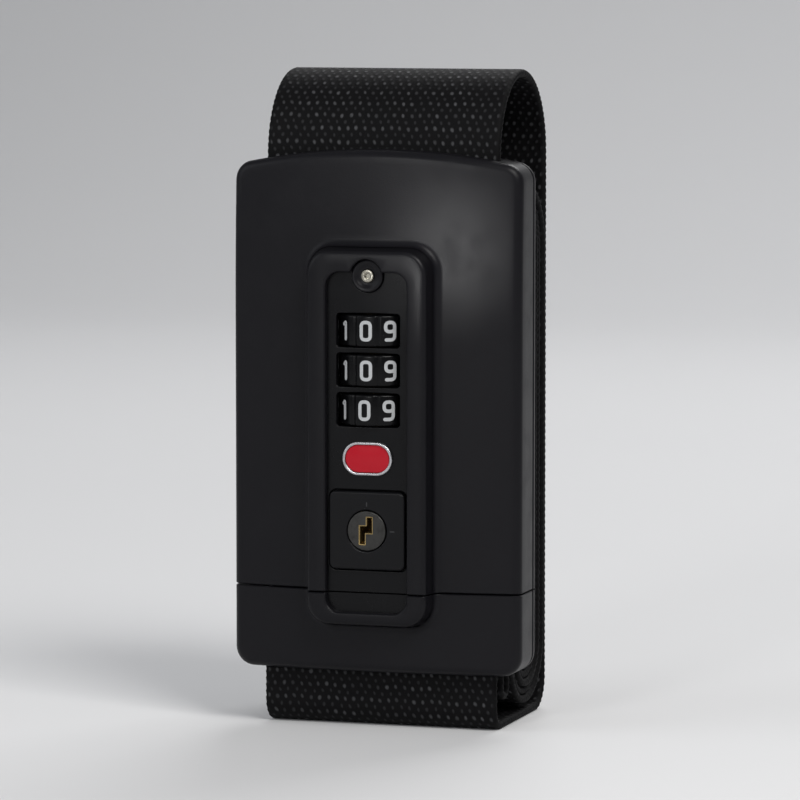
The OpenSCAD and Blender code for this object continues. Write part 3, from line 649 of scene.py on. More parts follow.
class Mesher:
    """Collects points and faces of one mesh, in millimetres."""

    def __init__(self) -> None:
        """Starts an empty mesh."""
        self.points: list[Point3] = []
        self.faces: list[tuple[int, ...]] = []
        self.paints: list[int] = []
        self.paint = 0

    def ring(self, points: Sequence[Point3]) -> list[int]:
        """Adds points and returns their numbers.

        Args:
            points: the points, in millimetres.

        Returns:
            Their numbers.
        """
        first = len(self.points)
        self.points.extend(points)
        return list(range(first, first + len(points)))

    def face(self, *corners: int) -> None:
        """Adds one face, unless two of its corners are the same."""
        if len(set(corners)) == len(corners):
            self.faces.append(corners)
            self.paints.append(self.paint)

    def skin(
        self, a: Sequence[int], b: Sequence[int], closed: bool, skip: Optional[range] = None
    ) -> None:
        """Joins two rings with faces.

        Args:
            a: numbers of one ring's points.
            b: numbers of the next ring's points.
            closed: whether the rings are closed loops.
            skip: places along the rings that are left open.
        """
        count = len(a) if closed else len(a) - 1
        for i in range(count):
            if skip is None or i not in skip:
                j = (i + 1) % len(a)
                self.face(a[i], a[j], b[j], b[i])

    def fill(self, loops: Sequence[Sequence[int]], drop: int) -> None:
        """Fills a flat region, holes included.

        Args:
            loops: numbers of its outer loop's points, then of each hole's.
            drop: the axis that it is flat along.
        """
        numbers = [i for loop in loops for i in loop]
        keep = [k for k in range(3) if k != drop]
        flat = [
            [Vector((self.points[i][keep[0]], self.points[i][keep[1]], 0.0)) for i in loop]
            for loop in loops
        ]
        for triangle in tessellate_polygon(flat):
            self.face(*(numbers[i] for i in triangle))

    def block(self, low: Point3, high: Point3, edge: float) -> None:
        """Adds a block between two corners, with round edges of that radius.

        Args:
            low: its lowest corner.
            high: its highest corner.
            edge: radius of its edges.
        """
        middle = ((low[0] + high[0]) / 2, (low[2] + high[2]) / 2)
        outline = RoundRect(middle, high[0] - low[0], high[2] - low[2], edge, 2)
        self.slab(outline, (), low[1], high[1], edge, edge)

    def slab(
        self,
        outline: Outline,
        holes: Sequence[Outline],
        front: float,
        back: float,
        front_edge: float,
        back_edge: float,
        hole_paint: Optional[int] = None,
        dome: float = 0.0,
    ) -> None:
        """Adds a flat plate in the front view, with round edges and holes right through.

        Args:
            outline: its outer edge.
            holes: its holes.
            front: depth of its front face.
            back: depth of its back face.
            front_edge: radius of its front edges, those of its holes included.
            back_edge: radius of its back edges.
            hole_paint: material number of the walls of its holes.
            dome: how far the middle of its front stands proud, for a plate without holes.
        """
        steps = [math.radians(a) for a in (0, 22.5, 45, 67.5, 90)]
        stations = [(front_edge + HOLD, front)]
        stations += [
            (front_edge * (1 - math.sin(a)), front + front_edge * (1 - math.cos(a))) for a in steps
        ]
        stations += [
            (back_edge * (1 - math.cos(a)), back - back_edge * (1 - math.sin(a))) for a in steps
        ]
        stations.append((back_edge + HOLD, back))
        ends: list[tuple[list[int], list[int]]] = []
        for shape, sign in [(outline, 1), *((hole, -1) for hole in holes)]:
            normal_paint = self.paint
            if sign < 0 and hole_paint is not None:
                self.paint = hole_paint
            rings = [
                self.ring([(x, y, z) for x, z in shape.loop(sign * inset)]) for inset, y in stations
            ]
            for a, b in zip(rings, rings[1:]):
                self.skin(a, b, True) if sign > 0 else self.skin(b, a, True)
            self.paint = normal_paint
            ends.append((rings[0], rings[-1]))
        if dome and not holes:
            self._dome(outline, ends[0][0], front, front_edge + HOLD, dome)
        else:
            self.fill([e[0] for e in ends], drop=1)
        self.fill([e[1] for e in ends], drop=1)

    def _dome(self, outline: Outline, rim: list[int], front: float, edge: float, rise: float) -> None:
        """Closes a plate's front with a low dome.

        Args:
            outline: the plate's outline.
            rim: numbers of its front ring's points.
            front: depth of its front face.
            edge: how far the ring is drawn in.
            rise: how far the middle stands proud.
        """
        flat = outline.loop(edge)
        middle = (sum(p[0] for p in flat) / len(flat), sum(p[1] for p in flat) / len(flat))
        last = rim
        for share in (0.25, 0.5, 0.75):
            loop = [between(p, middle, share) for p in flat]
            depth = front - rise * (1 - (1 - share) ** 2)
            ring = self.ring([(x, depth, z) for x, z in loop])
            self.skin(ring, last, True)
            last = ring
        centre = self.ring([(middle[0], front - rise, middle[1])])[0]
        for i, here in enumerate(last):
            self.face(here, last[(i + 1) % len(last)], centre)

    def lathe(self, middle: Point2, profile: Sequence[Point2], steps: int = 56) -> None:
        """Adds a solid turned about an axis along Y.

        Args:
            middle: where the axis is in the front view.
            profile: (radius, depth) points of its closed section.
            steps: how many pieces a turn is cut into.
        """
        rings = [
            self.ring([(x, depth, z) for x, z in Disc(middle, radius, steps).loop()])
            for radius, depth in profile
        ]
        for a, b in zip(rings, rings[1:] + rings[:1]):
            self.skin(a, b, True)

    def object(self, name: str) -> bpy.types.Object:
        """Makes the mesh's object, in metres and in the scene.

        Args:
            name: its name.

        Returns:
            The object.
        """
        mesh = bpy.data.meshes.new(name)
        mesh.from_pydata([tuple(c * MM for c in p) for p in self.points], [], self.faces)
        mesh.polygons.foreach_set("material_index", self.paints)
        mesh.validate()
        self._turn_out(mesh)
        mesh.polygons.foreach_set("use_smooth", [True] * len(mesh.polygons))
        mesh.set_sharp_from_angle(angle=SMOOTH_BELOW)
        return link(name, mesh)

    @staticmethod
    def _turn_out(mesh: bpy.types.Mesh) -> None:
        """Welds the mesh's double points and turns its faces outwards.

        Args:
            mesh: the mesh, which is changed in place.
        """
        work = bmesh.new()
        work.from_mesh(mesh)
        bmesh.ops.remove_doubles(work, verts=work.verts, dist=1e-6)
        bmesh.ops.recalc_face_normals(work, faces=work.faces)
        work.to_mesh(mesh)
        work.free()


# ---------------------------------------------------------------- the buckle's sizes


FLANGE = 2.0  # how far the lock frame's hidden flange stands out above and below
SIDE_FLANGE = 2.15  # and at its sides
PANEL_TOP_LAP = 2.55  # how far the panel reaches behind the lock frame at its top
TOP_POINTS = 41  # points along a path's crossing part
SIDE_POINTS = 30  # points up a side of the body
FOOT_POINTS = 8  # points down a side of the tongue
SEAM_BEVEL = 0.18  # bevel of the outer edges at the seam between body and tongue
DISH_R = 3.35  # radius of the reset pin's dish
DISH_STEPS = 24


@dataclass(frozen=True)
class BuckleSizes:
    """Sizes that the buckle's pieces share, read from the frame where it has them."""

    half_w: float
    rim_y: float
    split_y: float
    back_y: float
    body_z: float
    body_top_z: float
    tongue_z: float
    tongue_top_z: float
    module_top_z: float
    module_bottom_z: float
    frame_half_w: float
    window_top_z: float
    panel_y: float
    panel_back_y: float
    reset_z: float
    button_middle: Point2
    dial_z: tuple[float, float, float]
    dial_y: float
    badge_z: float
    panel_half_w: float = 8.7
    wall: float = 2.0
    crown: float = 2.5
    face_below_rim: float = 4.5
    roll: float = 1.1
    roll_z: float = 86.0
    corner: float = 4.0
    frame_corner: float = 5.0
    window_corner: float = 3.0
    window_foot: float = 2.9
    top_arch: float = 147.27

    @classmethod
    def from_frame(cls) -> BuckleSizes:
        """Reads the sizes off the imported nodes' boxes.

        Returns:
            The sizes.
        """
        body, tongue = node_box("front_shell"), node_box("tongue_front")
        rim, panel = node_box("lock_bezel"), node_box("lock_panel")
        dials = [node_middle(f"dial_{i}") for i in (1, 2, 3)]
        return cls(
            half_w=body[1].x,
            rim_y=rim[0].y,
            split_y=body[1].y,
            back_y=node_box("back_shell")[1].y,
            body_z=body[0].z,
            body_top_z=body[1].z,
            tongue_z=tongue[0].z,
            tongue_top_z=tongue[1].z,
            module_top_z=rim[1].z - FLANGE,
            module_bottom_z=node_box("tongue_bezel")[0].z + FLANGE,
            frame_half_w=rim[1].x - SIDE_FLANGE,
            window_top_z=panel[1].z - PANEL_TOP_LAP,
            panel_y=panel[0].y,
            panel_back_y=panel[1].y,
            reset_z=node_middle("reset_pin").z,
            button_middle=(0.0, node_middle("release_button").z),
            dial_z=tuple(dial.z for dial in dials),
            dial_y=dials[0].y,
            badge_z=node_middle("badge_rim").z,
        )

    @property
    def face_y(self) -> float:
        """Depth of the crowned face at its middle."""
        return self.rim_y + self.face_below_rim

    @property
    def crown_r(self) -> float:
        """Radius of the crowned face."""
        return (self.half_w**2 + self.crown**2) / (2 * self.crown)

    @property
    def rim_w(self) -> float:
        """Width of the lock frame beside the panel."""
        return self.frame_half_w - self.panel_half_w

    def face(self, x: float, z: float) -> float:
        """Depth of the crowned face, which rolls back a little towards the top edge.

        Args:
            x: place across.
            z: height.

        Returns:
            The depth there.
        """
        rolled = max(0.0, (z - self.roll_z) / (self.body_top_z - self.roll_z))
        drop = self.crown_r - math.sqrt(self.crown_r**2 - x * x)
        return self.face_y + drop + self.roll * rolled**2

    def body_path(self, inset: float) -> Loop:
        """The body's arched outline, from its lower left corner round to its lower right one.

        Args:
            inset: how far it is drawn in.

        Returns:
            Its points, matched one by one with frame_path's.
        """
        side = self.half_w - inset
        radius = max(self.corner - inset, 0.5)
        lean = math.asin((self.half_w - self.corner) / (self.top_arch - self.corner))
        top = (0.0, self.body_top_z - self.top_arch)
        corner_x = side - radius
        corner_z = top[1] + (self.top_arch - self.corner) * math.cos(lean)
        corner = arc((corner_x, corner_z), radius, 0, 90 - math.degrees(lean), 8)
        rise = [(side, z) for z in self._side_heights(corner_z)]
        slot = WEBBING_HALF_W + SLOT_GAP
        reach = self.top_arch - inset
        arch = [(x, top[1] + math.sqrt(reach**2 - x * x)) for x in spaced(slot, -slot, TOP_POINTS)]
        right = rise + corner[1:]
        left = [(-x, z) for x, z in reversed(right)]
        return [*right, *arch, *left][::-1]

    def _side_heights(self, top: float) -> list[float]:
        """Heights of the points up a side, close together at the seam."""
        return [self.body_z, self.body_z + SEAM_BEVEL, *spaced(self.body_z + 2.0, top, SIDE_POINTS)]

    def frame_path(self, grow: float) -> Loop:
        """The lock frame's outer outline on the body, drawn out by grow, in body_path's order."""
        return self.arch_path(
            self.frame_half_w + grow, self.module_top_z + grow, self.frame_corner + grow, 0.0
        )

    def window_path(self, dish: float) -> Loop:
        """The lock frame's inner outline on the body, which makes way for a dish of that radius."""
        return self.arch_path(self.panel_half_w, self.window_top_z, self.window_corner, dish)

    def arch_path(self, half_w: float, top: float, radius: float, dish: float) -> Loop:
        """An upright arch with round upper corners, and room for a dish at the middle of its top.

        Args:
            half_w: half its width.
            top: height of its top.
            radius: radius of its corners.
            dish: radius of the dish, or 0 for none.

        Returns:
            Its points, in body_path's order.
        """
        corner = arc((half_w - radius, top - radius), radius, 0, 90, 8)
        rise = [(half_w, z) for z in self._side_heights(top - radius)]
        reach = half_w - radius
        if dish:
            height = top - self.reset_z
            start = math.degrees(math.asin(height / dish))
            over = arc((0.0, self.reset_z), dish, start, 180 - start, DISH_STEPS)
            run = (TOP_POINTS - len(over)) // 2
            edge = over[0][0]
            crossing = [
                *((x, top) for x in spaced(reach, edge, run + 1)[:-1]),
                *over,
                *((x, top) for x in spaced(-edge, -reach, run + 1)[1:]),
            ]
        else:
            crossing = [(x, top) for x in spaced(reach, -reach, TOP_POINTS)]
        right = rise + corner[1:]
        left = [(-x, z) for x, z in reversed(right)]
        return [*right, *crossing, *left][::-1]

    def tongue_path(self, inset: float) -> Loop:
        """The tongue's outline, from its upper left corner down and round to its upper right one."""
        return self.foot_loop(
            self.half_w - inset, self.tongue_z + inset, max(self.corner - inset, 0.5), True
        )

    def foot_path(self, grow: float) -> Loop:
        """The lock frame's outer outline on the tongue, drawn out by grow."""
        return self.foot_loop(
            self.frame_half_w + grow, self.module_bottom_z - grow, self.frame_corner + grow, False
        )

    def foot_window_path(self) -> Loop:
        """The lock frame's inner outline on the tongue."""
        return self.foot_loop(
            self.panel_half_w, self.module_bottom_z + self.window_foot, self.window_corner, False
        )

    def foot_loop(self, half_w: float, bottom: float, radius: float, mouth: bool) -> Loop:
        """A path down one side, round two corners and up the other side.

        Args:
            half_w: half its width.
            bottom: height of its bottom.
            radius: radius of its corners.
            mouth: whether its lower run is as wide as the webbing's mouth.

        Returns:
            Its points, from the upper left.
        """
        reach = WEBBING_HALF_W + SLOT_GAP if mouth else half_w - radius
        rise = [self.tongue_top_z, self.tongue_top_z - SEAM_BEVEL]
        rise += spaced(self.tongue_top_z - 1.0, bottom + radius, FOOT_POINTS)
        side = [(-half_w, z) for z in rise]
        corner = arc((radius - half_w, bottom + radius), radius, 180, 270, 8)[1:]
        crossing = [(x, bottom) for x in spaced(-reach, reach, TOP_POINTS)]
        right = [(-x, z) for x, z in reversed(side + corner)]
        return [*side, *corner, *crossing, *right]


# ---------------------------------------------------------------- shells and lock frame


@dataclass
class CrownedShell:
    """A moulding with the crowned face, open behind, and a way through its wall for the webbing."""

    sizes: BuckleSizes
    outer: Callable[[float], Loop]
    inner: Callable[[float], Loop]
    slot_front: float
    slot_back: float
    slot: range
    edge_r: float = 1.7
    root_r: float = 1.6
    fit: float = 0.03
    rings: list[list[Point3]] = field(default_factory=list)
    tilts: list[float] = field(default_factory=list)

    def build(self, name: str) -> bpy.types.Object:
        """Makes the shell's mesh and its object, of that name.

        Args:
            name: the object's name.

        Returns:
            The object.
        """
        open_bands = self._section()
        self._bevel_ends()
        mesher = Mesher()
        numbers = [mesher.ring(ring) for ring in self.rings]
        for k, ring in enumerate(numbers):
            opened = self.slot if any(a <= k < b for a, b in open_bands) else None
            mesher.skin(ring, numbers[(k + 1) % len(numbers)], False, opened)
        for end in (0, -1):
            mesher.fill([[ring[end] for ring in numbers]], drop=2)
        self._line_slot(mesher, numbers, open_bands)
        return mesher.object(name)

    def _lay(self, path: Loop, depth: Callable[[float, float], float], tilt: float) -> None:
        """Adds one ring on a path, at a depth for each of its points."""
        self.rings.append([(x, depth(x, z), z) for x, z in path])
        self.tilts.append(tilt)

    def _section(self) -> list[tuple[int, int]]:
        """Lays the section's rings, from the lock frame's root round the edge and back inside.

        Returns:
            The bands that the webbing's slot opens, as ranges of ring numbers.
        """
        face, wall, split = self.sizes.face, self.sizes.wall, self.sizes.split_y
        for angle in spaced(0, 90, 7):
            a = math.radians(angle)
            up = self.root_r * (1 - math.sin(a))
            out = self.fit + self.root_r * (1 - math.cos(a))
            self._lay(self.inner(out), lambda x, z, up=up: face(x, z) - up, 0.0)
        root, edge = self.inner(self.fit + self.root_r), self.outer(self.edge_r)
        for share in spaced(0, 1, 16)[1:-1]:
            self._lay([between(a, b, share) for a, b in zip(root, edge)], face, 0.0)
        for angle in spaced(0, 90, 8):
            a = math.radians(angle)
            back = self.edge_r * (1 - math.cos(a))
            path = self.outer(self.edge_r * (1 - math.sin(a)))
            self._lay(path, lambda x, z, back=back: face(x, z) + back, angle)
        first = len(self.rings)
        outer_depths = [(self.slot_front, 0.0)]
        if self.slot_back < split:
            outer_depths.append((self.slot_back, 0.0))
        for depth, inset in [*outer_depths, (split - 0.2, 0.0), (split, 0.2)]:
            self._lay(self.outer(inset), lambda x, z, depth=depth: depth, 90.0)
        inner_depths = [split, *(depth for depth, _ in reversed(outer_depths))]
        inside = len(self.rings)
        for depth in inner_depths:
            self._lay(self.outer(wall), lambda x, z, depth=depth: depth, -1.0)
        last = len(self.rings) - 1
        far, near = self.outer(wall), self.inner(self.fit)
        for share in spaced(0, 1, 5):
            path = [between(a, b, share) for a, b in zip(far, near)]
            self._lay(path, lambda x, z: face(x, z) + wall, -1.0)
        if self.slot_back < split:
            return [(first, first + 1), (inside + 1, last)]
        return [(first, last)]

    def _bevel_ends(self) -> None:
        """Draws the outer surface in a little where it ends at the seam."""
        for ring, tilt in zip(self.rings, self.tilts):
            for end in (0, -1):
                if tilt >= 0:
                    x, y, z = ring[end]
                    a = math.radians(tilt)
                    x -= math.copysign(SEAM_BEVEL * math.sin(a), x)
                    ring[end] = (x, y + SEAM_BEVEL * math.cos(a), z)

    def _line_slot(
        self, mesher: Mesher, numbers: list[list[int]], bands: list[tuple[int, int]]
    ) -> None:
        """Joins the outer and inner surfaces round the webbing's slot.

        Args:
            mesher: the mesh.
            numbers: numbers of each ring's points.
            bands: the bands of rings that the slot opens.
        """
        first, last = bands[0][0], bands[-1][1]
        span = slice(self.slot.start, self.slot.stop + 1)
        mesher.skin(numbers[first][span], numbers[last][span], False)
        if len(bands) > 1:
            mesher.skin(numbers[bands[0][1]][span], numbers[bands[1][0]][span], False)
        corners = [k for a, b in bands for k in range(a, b + 1)]
        for end in (self.slot.start, self.slot.stop):
            mesher.face(*(numbers[k][end] for k in corners))


@dataclass(frozen=True)
class LockRim:
    """The raised frame round the lock, on the body or on the tongue."""

    sizes: BuckleSizes
    outer: Loop
    inner: Loop
    plain_inner: Loop
    inner_r: float = 0.5
    outer_r: float = 1.05
    draft: float = 0.55
    foot_depth: float = 7.3
    plain_from: float = 0.61

    def build(self, name: str) -> bpy.types.Object:
        """Makes the rim's mesh and its object, of that name.

        Args:
            name: the object's name.

        Returns:
            The object.
        """
        mesher = Mesher()
        section = self._section()
        rings = []
        for share, depth, front in section:
            inner = self.inner if share < self.plain_from else self.plain_inner
            path = [between(a, b, share) for a, b in zip(inner, self.outer)]
            placed = [(x, depth, z) for x, z in path]
            for end in (0, -1):
                x, y, z = placed[end]
                placed[end] = (x, y + (SEAM_BEVEL if front else 0.0), z)
            rings.append(mesher.ring(placed))
        for a, b in zip(rings, rings[1:] + rings[:1]):
            mesher.skin(a, b, False)
        for end in (0, -1):
            mesher.fill([[ring[end] for ring in rings]], drop=2)
        return mesher.object(name)

    def _section(self) -> list[tuple[float, float, bool]]:
        """The rim's section: share of its width from inside, depth, and whether it is its front.

        Returns:
            The points of the section, in order round it.
        """
        width, top = self.sizes.rim_w, self.sizes.rim_y
        made: list[tuple[float, float, bool]] = [(0.0, self.sizes.panel_y + 0.1, False)]
        for angle in spaced(0, 90, 6):
            a = math.radians(angle)
            across = self.inner_r * (1 - math.cos(a))
            made.append((across / width, top + self.inner_r * (1 - math.sin(a)), True))
        made.append((self.plain_from + 0.01, top - 0.05, True))
        for angle in spaced(0, 90, 7):
            a = math.radians(angle)
            across = width - self.draft - self.outer_r * (1 - math.sin(a))
            made.append((across / width, top + self.outer_r * (1 - math.cos(a)), True))
        made.append((1.0, self.sizes.face_y - 0.9, True))
        made.append((1.0, top + self.foot_depth, False))
        pocket = (width - self.sizes.wall) / width
        made.append((pocket, top + self.foot_depth, False))
        made.append((pocket, self.sizes.panel_y + 0.1, False))
        return made


# ---------------------------------------------------------------- numbers on the dials


@dataclass(frozen=True)
class Numerals:
    """Plain rounded numerals drawn as strokes, wrapped round a dial."""

    half_w: float = 0.96
    half_h: float = 1.78
    stroke: float = 0.7
    bend: float = 0.85
    proud: float = 0.045
    sunk: float = 0.06

    def strokes(self, digit: int) -> list[tuple[Loop, bool]]:
        """The centre lines of a numeral, each with whether it is a closed loop.

        Args:
            digit: which numeral, 0 to 9.

        Returns:
            Its strokes.
        """
        w, h = self.half_w, self.half_h
        nine = [
            ([(-w, -0.1), (w, -0.1), (w, h), (-w, h)], True),
            ([(w, 0.7), (w, -h), (-w * 0.85, -h)], False),
        ]
        lines = {
            0: [([(-w, -h), (w, -h), (w, h), (-w, h)], True)],
            1: [([(-0.55, h - 0.55), (0.02, h - 0.02), (0.02, -h)], False)],
            2: [([(-w, h - 0.8), (-w, h), (w, h), (w, 0.1), (-w, -0.9), (-w, -h), (w, -h)], False)],
            3: [
                ([(-w, h), (w, h), (w, 0.0), (-0.3, 0.0)], False),
                ([(-0.3, 0.0), (w, 0.0), (w, -h), (-w, -h)], False),
            ],
            4: [([(0.45, -h), (0.45, h), (-w, -0.6), (w, -0.6)], False)],
            5: [([(w, h), (-w, h), (-w, 0.2), (w, 0.2), (w, -h), (-w, -h)], False)],
            6: [([(-x, -z) for x, z in line], closed) for line, closed in nine],
            7: [([(-w, h), (w, h), (-0.2, -h)], False)],
            8: [
                ([(-w, -0.02), (w, -0.02), (w, h), (-w, h)], True),
                ([(-w, -h), (w, -h), (w, 0.02), (-w, 0.02)], True),
            ],
            9: nine,
        }
        return [(self._rounded(line, closed), closed) for line, closed in lines[digit]]

    def _rounded(self, line: Loop, closed: bool) -> Loop:
        """The line with its corners rounded.

        Args:
            line: the line's corners.
            closed: whether it is a closed loop.

        Returns:
            The rounded line's points.
        """
        made: Loop = []
        count = len(line)
        for i, here in enumerate(line):
            if not closed and i in (0, count - 1):
                made.append(here)
                continue
            before, after, at = Vector(line[i - 1]), Vector(line[(i + 1) % count]), Vector(here)
            cut = min(self.bend, (before - at).length * 0.48, (after - at).length * 0.48)
            a = at.lerp(before, cut / (before - at).length)
            b = at.lerp(after, cut / (after - at).length)
            for t in spaced(0, 1, 7):
                made.append(tuple(a.lerp(at, t).lerp(at.lerp(b, t), t)))
        return made

    def draw(
        self, mesher: Mesher, digit: int, wrap: Callable[[float, float, float], Point3]
    ) -> None:
        """Adds a numeral to a mesh.

        Args:
            mesher: the mesh.
            digit: which numeral, 0 to 9.
            wrap: gives the place of (across, up, proud) on the dial.
        """
        for line, closed in self.strokes(digit):
            points = self._even(line, closed)
            left, right = self._sides(points, closed)
            if not closed:
                left, right = self._round_ends(points, left, right)
            lift = [self.proud + 0.00002 * i for i in range(len(left))]
            top_l = mesher.ring([wrap(u, v, h) for (u, v), h in zip(left, lift)])
            top_r = mesher.ring([wrap(u, v, h) for (u, v), h in zip(right, lift)])
            low_l = mesher.ring([wrap(u, v, -self.sunk) for u, v in left])
            low_r = mesher.ring([wrap(u, v, -self.sunk) for u, v in right])
            for a, b in ((top_l, top_r), (top_r, low_r), (low_r, low_l), (low_l, top_l)):
                mesher.skin(a, b, closed)

    @staticmethod
    def _even(line: Loop, closed: bool) -> list[Vector]:
        """The line with points at most a quarter of a millimetre apart.

        Args:
            line: the line.
            closed: whether it is a closed loop.

        Returns:
            Its points.
        """
        points = [Vector(p) for p in line]
        if closed:
            points.append(points[0])
        made = [points[0]]
        for a, b in zip(points, points[1:]):
            pieces = max(1, math.ceil((b - a).length / 0.25))
            if (b - a).length > 1e-4:
                made += [a.lerp(b, i / pieces) for i in range(1, pieces + 1)]
        return made[:-1] if closed else made

    def _sides(self, points: list[Vector], closed: bool) -> tuple[Loop, Loop]:
        """The two edges of the stroke.

        Args:
            points: points of its centre line.
            closed: whether it is a closed loop.

        Returns:
            The left edge and the right edge.
        """
        left, right, count = [], [], len(points)
        for i, p in enumerate(points):
            before = points[i - 1] if closed or i else p
            after = points[(i + 1) % count] if closed or i + 1 < count else p
            along = (after - before).normalized()
            out = Vector((-along.y, along.x)) * (self.stroke / 2)
            left.append(tuple(p + out))
            right.append(tuple(p - out))
        return left, right

    def _round_ends(self, points: list[Vector], left: Loop, right: Loop) -> tuple[Loop, Loop]:
        """The two edges drawn on round both ends of the stroke.

        Args:
            points: points of its centre line.
            left: its left edge.
            right: its right edge.

        Returns:
            The longer left and right edges.
        """
        radius = self.stroke / 2
        caps = []
        for tip, inner in ((points[0], points[1]), (points[-1], points[-2])):
            out = (tip - inner).normalized()
            side = Vector((-out.y, out.x))
            caps.append(
                [
                    (
                        tuple(tip + out * radius * math.sin(a) + side * radius * math.cos(a)),
                        tuple(tip + out * radius * math.sin(a) - side * radius * math.cos(a)),
                    )
                    for a in (math.radians(d) for d in (30, 55, 75, 88))
                ]
            )
        start = [(b, a) for a, b in reversed(caps[0])]
        end = caps[1]
        new_left = [a for a, _ in start] + left + [a for a, _ in end]
        new_right = [b for _, b in start] + right + [b for _, b in end]
        return new_left, new_right


# ---------------------------------------------------------------- dials, panel, button and plug


@dataclass(frozen=True)
class NumberDial:
    """A number dial turned about an upright axis, with grip grooves and its ten numerals."""

    centre: Point3
    lean: float
    radius: float = 8.1
    width: float = 6.4
    bore_r: float = 4.6
    edge_r: float = 0.45
    groove: float = 0.3
    steps: int = 180

    def build(self, name: str) -> bpy.types.Object:
        """Makes the dial's mesh and its object, of that name.

        Args:
            name: the object's name.

        Returns:
            The object.
        """
        mesher = Mesher()
        half, rim = self.width / 2, self.radius - self.edge_r
        profile = [(self.bore_r + 0.25, -half)]
        profile += arc((rim, self.edge_r - half), self.edge_r, -90, 0, 5)
        profile += arc((rim, half - self.edge_r), self.edge_r, 0, 90, 5)
        profile += [(self.bore_r + 0.25, half), (self.bore_r, half - 0.25), (self.bore_r, 0.25 - half)]
        rings = [
            mesher.ring([self._place(360 * i / self.steps, r, z) for i in range(self.steps)])
            for r, z in profile
        ]
        for a, b in zip(rings, rings[1:] + rings[:1]):
            mesher.skin(a, b, True)
        mesher.paint = 1
        numerals = Numerals()
        for digit in range(10):
            turn = math.radians(self.lean - 36 * digit)

            def wrap(across: float, up: float, proud: float, turn: float = turn) -> Point3:
                """The place of a numeral's point on the dial."""
                angle, reach = turn + across / self.radius, self.radius + proud
                x, y, z = self.centre
                return (x + reach * math.sin(angle), y - reach * math.cos(angle), z + up)

            numerals.draw(mesher, digit, wrap)
        return mesher.object(name)

    def _place(self, angle: float, radius: float, up: float) -> Point3:
        """A point of the dial, drawn in where a grip groove passes.

        Args:
            angle: angle round the dial, in degrees from +X.
            radius: distance from the axis.
            up: height above the dial's middle.

        Returns:
            The point.
        """
        off = (angle - self.lean + 18.0) % 36.0 - 18.0
        if radius > self.radius - 1 and abs(off) < 4.5:
            radius -= self.groove * math.cos(math.radians(off * 20)) ** 2
        a = math.radians(angle)
        x, y, z = self.centre
        return (x + radius * math.cos(a), y + radius * math.sin(a), z + up)


@dataclass(frozen=True)
class Keyway:
    """The stepped slot in the key plug."""

    middle: Point2
    steps: tuple[Point2, ...] = (
        (-1.4, -2.7),
        (-0.4, -2.7),
        (-0.4, -0.4),
        (1.1, -0.4),
        (1.1, 2.7),
        (0.1, 2.7),
        (0.1, 0.9),
        (-1.4, 0.9),
    )

    def outline(self) -> Polygon:
        """Its outline in the front view."""
        return Polygon(tuple((self.middle[0] + x, self.middle[1] + z) for x, z in self.steps))


class Body(Enum):
    """The bodies of the strap that pieces ride on, besides its three dials."""

    TONGUE = "root"
    BUCKLE = "buckle"
    RESET = "reset_pin"
    BUTTON = "release_button"
    PLUG = "key_plug"


